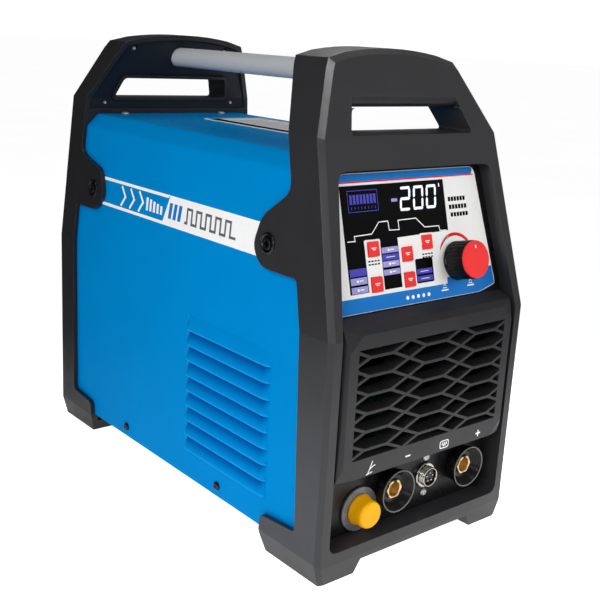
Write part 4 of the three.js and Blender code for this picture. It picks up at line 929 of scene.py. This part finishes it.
def build_knob():
    count, flutes = 192, 26
    skirt_points = [v.co / MM for v in frame["nodes"]["knob_skirt"].data.vertices]
    cap_points = [v.co / MM for v in frame["nodes"]["knob_cap"].data.vertices]
    height = [(point - PANEL.origin).dot(PANEL.out) for point in skirt_points]
    top = [(point - PANEL.origin).dot(PANEL.out) for point in cap_points]
    bottom, shoulder, crown = 0.8, max(height), max(top)
    base, grip = 17.0, 16.9

    def ripple(radius, level, i):
        if radius < 8 or level < bottom + 3:
            return radius
        wave = 0.5 + 0.5 * math.cos(2 * math.pi * flutes * i / count)
        return radius - 0.95 * wave ** 1.5

    profile = [(0, bottom), (base - 0.5, bottom), (base, bottom + 0.5), (base, bottom + 2), (base - 0.4, bottom + 2.5),
               (grip - 0.1, bottom + 3.1), (grip - 0.1, bottom + 6), (grip - 0.2, shoulder - 1.6),
               (grip - 0.4, shoulder - 0.5), (grip - 0.9, shoulder), (0, shoulder)]
    skirt = piece("knob_grip", *turned(PANEL, KNOB_U, KNOB_V, profile, count, ripple), LOOK["knob_black"], "knob")
    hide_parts("knob_skirt")
    face = 16.1
    disc = ease_corner([(0, shoulder + 0.3), (face, shoulder + 0.3), (face, crown - 0.2), (face - 2.6, crown),
                        (face - 4, crown - 0.35), (0, crown - 0.5)], 0.7)
    cap = piece("knob_disc", *turned(PANEL, KNOB_U, KNOB_V, disc, 96), LOOK["red_plastic"], "knob", crease=50)
    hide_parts("knob_cap")
    pointer = [rectangle(KNOB_U - 0.6, KNOB_U + 0.6, KNOB_V + 9.6, KNOB_V + 12.4)]
    printed("knob_pointer", PANEL, pointer, crown - 0.3, crown - 0.02, WHITE_INK, "knob")


def build_sockets():
    """Flared ring with stepped inner cone round each brass contact."""
    for pole in ("negative", "positive"):
        low, high = box_of(f"{pole}_socket")
        x, z = (low.x + high.x) / 2, (low.z + high.z) / 2
        lip = (high.x - low.x) / 2
        front, back = -low.y, -high.y
        bed, bore, foot, seat = front - 7.7, 9.3, 17.0, front - 13.4
        profile = [(bore, bed), (12.6, bed)]
        steps = 6
        for k in range(steps):
            radius = 12.9 + (lip - 14.6) * k / steps
            level = bed + 0.4 + 6.6 * k / steps
            profile += [(radius, level), (radius + 0.5, level + 0.25), (radius + 0.55, level + 0.8)]
        profile += [(lip - 1.3, front - 0.5), (lip - 0.9, front), (lip - 0.3, front), (lip, front - 0.6),
                    (foot, seat), (12.6, seat), (12.6, back), (bore, back)]
        ring = piece(f"{pole}_socket_ring", *turned(AHEAD, x, z, profile, 96), LOOK["socket_plastic"], crease=40)
        paint_lip_highlight(ring, Vector((x, 0, z)), lip, front)
        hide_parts(f"{pole}_socket")
        build_contact(pole, x, z)


def paint_lip_highlight(ring, middle, lip, front):
    """Narrow crest of the lip painted lighter grey as a highlight line."""
    ring.data.materials.append(LIP_HIGHLIGHT_GREY)
    for polygon in ring.data.polygons:
        spot = polygon.center / MM - middle
        if math.hypot(spot.x, spot.z) > lip - 1.4 and -spot.y > front - 0.7:
            polygon.material_index = 1


def build_contact(pole, x, z):
    """Brass sleeve with a hexagonal collar; the pin bore goes well in, and a black sheet on the face is painted shade
    for the keyway.
    """
    low, high = box_of(f"{pole}_contact")
    front, back = -low.y, -high.y
    hexagon, tube, bore = 9.1, 8.9, 6.5
    count = 72

    def reach(radius, level, i):
        if radius < hexagon - 0.6 or level < front - 5.2:
            return radius
        angle = (2 * math.pi * i / count) % (math.pi / 3) - math.pi / 6
        flat = radius * 0.9 / math.cos(angle)
        return min(radius, flat)

    profile = [(0, front - 16), (bore, front - 16), (bore, front - 0.7), (bore + 0.6, front - 0.05), (hexagon - 0.55, front),
               (hexagon, front - 0.5), (hexagon, front - 5), (tube, front - 5.4), (tube, back), (0, back)]
    sleeve = piece(f"{pole}_contact_sleeve", *turned(AHEAD, x, z, profile, count, reach), LOOK["contact_brass"], crease=25)
    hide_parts(f"{pole}_contact")
    key = Sheet((x, -front, z), (1, 0, 0), (0, 0, 1))
    # Black sheet on the contact face: painted shade standing for the open keyway.
    printed(f"{pole}_contact_keyway_shade", key, [rectangle(-1.6, 1.6, bore - 0.6, bore + 1.5)], -0.5, 0.03, BLACK_INK)


def build_control_socket():
    low, high = box_of("control_socket")
    x, z = (low.x + high.x) / 2, (low.z + high.z) / 2
    front, back = -low.y, -high.y
    outer, inner, nut = 9.2, 7.7, 12.0
    profile = [(inner, back), (inner, front - 0.5), (inner + 0.4, front), (outer - 0.5, front), (outer, front - 0.6)]
    for k in range(5):
        level = front - 1.1 - k * 0.9
        profile += [(outer, level), (outer - 0.45, level - 0.45)]
    profile += [(outer, front - 5.4), (nut - 0.8, front - 5.5), (nut, front - 6.2), (nut, front - 7.7), (8.0, front - 7.7),
                (8.0, back)]
    shell = piece("control_socket_shell", *turned(AHEAD, x, z, profile, 72), LOOK["nickel_plate"], crease=25)
    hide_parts("control_socket")
    pins = []
    for k in range(5):
        angle = 2 * math.pi * k / 5 + math.pi / 2
        pins.append(circle(3.8 * math.cos(angle), 3.8 * math.sin(angle), 0.7, 12))
    insert = box_of("control_insert")[0]
    face = Sheet((x, insert.y, z), (1, 0, 0), (0, 0, 1))
    printed("control_pins", face, pins, -2, 1.4, LOOK["nickel_plate"])
    printed("control_key", face, [rounded_box(-0.9, 0.9, -7.6, -6.4, 0.3)], -2, 2.0, LOOK["socket_plastic"])


def build_gas_cap():
    low, high = box_of("gas_cap")
    x, z = (low.x + high.x) / 2, (low.z + high.z) / 2
    front, back = -low.y, -high.y
    wide = (high.x - low.x) / 2
    narrow = wide - 1.8
    profile = ease_corner([(8.2, back), (wide, back), (wide - 0.1, back + 1.6), (narrow + 0.7, back + 3.6),
                           (narrow, back + 6.5), (narrow, front - 2.2), (narrow - 1.1, front - 0.3),
                           (narrow - 2.8, front), (0, front)], 1.1)
    cover = [(8.2, front - 2.4), (0, front - 2.4)]
    rows = cover[::-1] + profile
    cap = piece("gas_cap_body", *turned(AHEAD, x, z, rows, 84), LOOK["yellow_plastic"], "dust_cap", crease=50)
    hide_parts("gas_cap")
    low, high = box_of("gas_washer")
    outer = (high.x - low.x) / 2
    rows = ease_corner([(8.6, -high.y), (outer, -high.y), (outer, -low.y), (8.6, -low.y), (8.6, -high.y)], 0.5)[:-1]
    washer = piece("gas_washer_disc", *turned(AHEAD, x, z, rows, 84), LOOK["washer_grey"], crease=45)
    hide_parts("gas_washer")


def build_lug_screws():
    """Dished washer with a socket head screw in it, one on each cover lug."""
    for end in ("front", "rear"):
        for word, hand in (("left", -1), ("right", 1)):
            node = f"lug_screw_{end}_{word}"
            low, high = box_of(node)
            y, z = (low.y + high.y) / 2, (low.z + high.z) / 2
            surface = max(abs(low.x), abs(high.x))
            outer = (high.z - low.z) / 2
            inner = min(abs(low.x), abs(high.x))
            side = Sheet((0, 0, 0), (0, hand, 0), (0, 0, 1))
            base = surface - 2.6
            rows = [(0, inner), (2.5, inner), (2.5, base), (outer, base), (outer, base + 1.4), (outer - 0.5, base + 2),
                    (outer - 1.4, base + 2.3), (outer - 2.4, base + 1.7), (6.2, base + 0.9), (5.3, base + 0.9),
                    (5.1, base + 2.2), (4.6, surface), (2.9, surface), (2.7, surface - 0.3), (2.5, base + 0.3), (0, base + 0.3)]

            def hexagon(radius, level, i):
                if radius > 3 or level < base + 0.2:
                    return radius
                angle = (2 * math.pi * i / 72) % (math.pi / 3) - math.pi / 6
                return radius * 0.92 / math.cos(angle)

            body = piece(f"{node}_body", *turned(side, hand * y, z, rows, 72, hexagon), LOOK["black_steel"], crease=35)
            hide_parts(node)


def build_cable_end():
    low, high = box_of("mains_cable")
    x, z = (low.x + high.x) / 2, (low.z + high.z) / 2
    radius = (high.x - low.x) / 2
    back = Sheet((x, high.y, z), (-1, 0, 0), (0, 0, 1))
    for k, (name, ink) in enumerate((("line", (96, 56, 34)), ("neutral", (40, 90, 190)), ("earth", (90, 150, 40)))):
        angle = math.radians(90 + 120 * k)
        a, b = radius * 0.48 * math.cos(angle), radius * 0.48 * math.sin(angle)
        sleeve = moulded(f"insulation_{name}", srgb(*ink), 0.5, 0.4, 0.01, 0.2, 1.2)
        printed(f"cable_{name}", back, [circle(a, b, radius * 0.38, 20)], -4, 0.04, sleeve)
        printed(f"cable_{name}_core", back, [circle(a, b, radius * 0.2, 14)], -4, 0.08, LOOK["winding_copper"])


def build_rear_marks():
    """Plain rating plate with ruled lines and generic on-off symbols on the rear panel."""
    low, high = box_of("rear_panel")
    face = Sheet((0, high.y, 0), (-1, 0, 0), (0, 0, 1))
    plate = [rounded_box(-72, -4, 262, 310, 2)]
    printed("rating_plate", face, plate, 0, 0.3, LOOK["plated_steel"])
    rules = [rectangle(-68, -8 - (k * 5 % 4) * 6, 267 + 5 * k, 268.4 + 5 * k) for k in range(8)]
    printed("rating_rules", face, rules, 0.29, 0.34, GREY_INK)
    switch = box_of("switch_housing")
    middle = -(switch[0].x + switch[1].x) / 2
    symbols = [rectangle(middle - 0.6, middle + 0.6, switch[1].z + 2.4, switch[1].z + 7)]
    ring = arc_points(middle, switch[0].z - 5, 2.6, 0, 350, 24) + arc_points(middle, switch[0].z - 5, 1.8, 350, 0, 24)
    symbols.append(ring)
    printed("switch_symbols", face, symbols, 0, LAYER, WHITE_INK)


# Inside of the cover painted dark grey as shade, so openings into it look dark.
INNER_SHADE = moulded("cover_inside_shade", srgb(34, 36, 40), 0.7, 0.8, 0.02, 0.3, 1.2)
build_cover()
for hand in (-1, 1):
    build_decal(hand)
build_roof_label()
build_front_symbols()
build_tube()
build_knob()
build_sockets()
build_control_socket()
build_gas_cap()
build_lug_screws()
build_cable_end()
build_rear_marks()


# ------------------------------------------------------------------ studio and camera
def studio():
    floor = bpy.data.meshes.new("studio_floor")
    reach = 30
    floor.from_pydata([(-reach, -reach, 0), (reach, -reach, 0), (reach, reach, 0), (-reach, reach, 0)],
                      [], [(0, 1, 2, 3)])
    floor.materials.append(pale_floor())
    ground = bpy.data.objects.new("studio_floor", floor)
    ground.location.z = -0.0004
    bpy.context.scene.collection.objects.link(ground)


WINDOW_AZIMUTH = 35  # direction of the lighter wall of the room


def world_light():
    """White to the camera; towards the object a soft room with one lighter wall."""
    world = bpy.data.worlds.new("studio_room")
    bpy.context.scene.world = world
    world.use_nodes = True
    tree = world.node_tree
    tree.nodes.clear()
    output = tree.nodes.new("ShaderNodeOutputWorld")
    mix = tree.nodes.new("ShaderNodeMixShader")
    path = tree.nodes.new("ShaderNodeLightPath")
    room = tree.nodes.new("ShaderNodeBackground")
    clean = tree.nodes.new("ShaderNodeBackground")
    clean.inputs["Color"].default_value = (1, 1, 1, 1)
    clean.inputs["Strength"].default_value = 1.1
    coords = tree.nodes.new("ShaderNodeTexCoord")
    facing = tree.nodes.new("ShaderNodeVectorMath")
    facing.operation = "DOT_PRODUCT"
    bright = math.radians(WINDOW_AZIMUTH)
    facing.inputs[1].default_value = (math.sin(bright), -math.cos(bright), 0)
    wall = tree.nodes.new("ShaderNodeMapRange")
    for socket, value in (("From Min", -0.3), ("To Min", 0.07), ("To Max", 0.42)):
        wall.inputs[socket].default_value = value
    tree.links.new(coords.outputs["Generated"], facing.inputs[0])
    tree.links.new(facing.outputs["Value"], wall.inputs["Value"])
    tree.links.new(wall.outputs[0], room.inputs["Strength"])
    tree.links.new(path.outputs["Is Camera Ray"], mix.inputs[0])
    tree.links.new(room.outputs[0], mix.inputs[1])
    tree.links.new(clean.outputs[0], mix.inputs[2])
    tree.links.new(mix.outputs[0], output.inputs["Surface"])


def lamp(name, azimuth, elevation, distance, size, power, glossy=True, diffuse=True):
    """Soft square light looking at the middle; some give no highlights, some give nothing else."""
    a, e = math.radians(azimuth), math.radians(elevation)
    away = Vector((math.sin(a) * math.cos(e), -math.cos(a) * math.cos(e), math.sin(e)))
    data = bpy.data.lights.new(name, "AREA")
    data.shape = "SQUARE"
    data.size = size
    data.energy = power
    light = bpy.data.objects.new(name, data)
    light.visible_glossy = glossy
    light.visible_diffuse = diffuse
    middle = (cad_low + cad_high) / 2
    light.location = middle + away * distance
    light.rotation_euler = away.to_track_quat("Z", "Y").to_euler()
    bpy.context.scene.collection.objects.link(light)


def camera():
    """Camera at the photograph's viewing angle."""
    azimuth, elevation, roll = math.radians(-40.652), math.radians(15.401), math.radians(3.218)
    distance, target = 1.01058, Vector((0.05162, 0, 0.16459))
    back = Vector((math.sin(azimuth) * math.cos(elevation), -math.cos(azimuth) * math.cos(elevation),
                   math.sin(elevation)))
    right = Vector((0, 0, 1)).cross(back).normalized()
    up = back.cross(right)
    turned_right = right * math.cos(roll) + up * math.sin(roll)
    turned_up = up * math.cos(roll) - right * math.sin(roll)
    data = bpy.data.cameras.new("camera")
    data.sensor_width = 36
    data.lens = 57.667
    data.shift_x = -0.01107
    data.shift_y = 0.00433
    data.clip_start = 0.01
    viewer = bpy.data.objects.new("camera", data)
    turn = Matrix((turned_right, turned_up, back)).transposed().to_4x4()
    viewer.matrix_world = Matrix.Translation(target + back * distance) @ turn
    bpy.context.scene.collection.objects.link(viewer)
    bpy.context.scene.camera = viewer


studio()
world_light()
lamp("key", -66, 22, 1.35, 0.9, 13.5, glossy=False)
lamp("fill", 20, 24, 2.1, 1.0, 16, glossy=False)
lamp("rim", 130, 45, 2.0, 0.8, 8)
lamp("side_wash", 62, 8, 2.0, 0.8, 7, glossy=False)
lamp("back", 165, 8, 1.9, 1.1, 22, glossy=False)
lamp("glint_top", -12, 66, 1.4, 0.3, 5, diffuse=False)
lamp("glint_corner", -50, 13, 1.6, 0.34, 5, diffuse=False)
camera()
bpy.context.scene.view_settings.view_transform = "Standard"
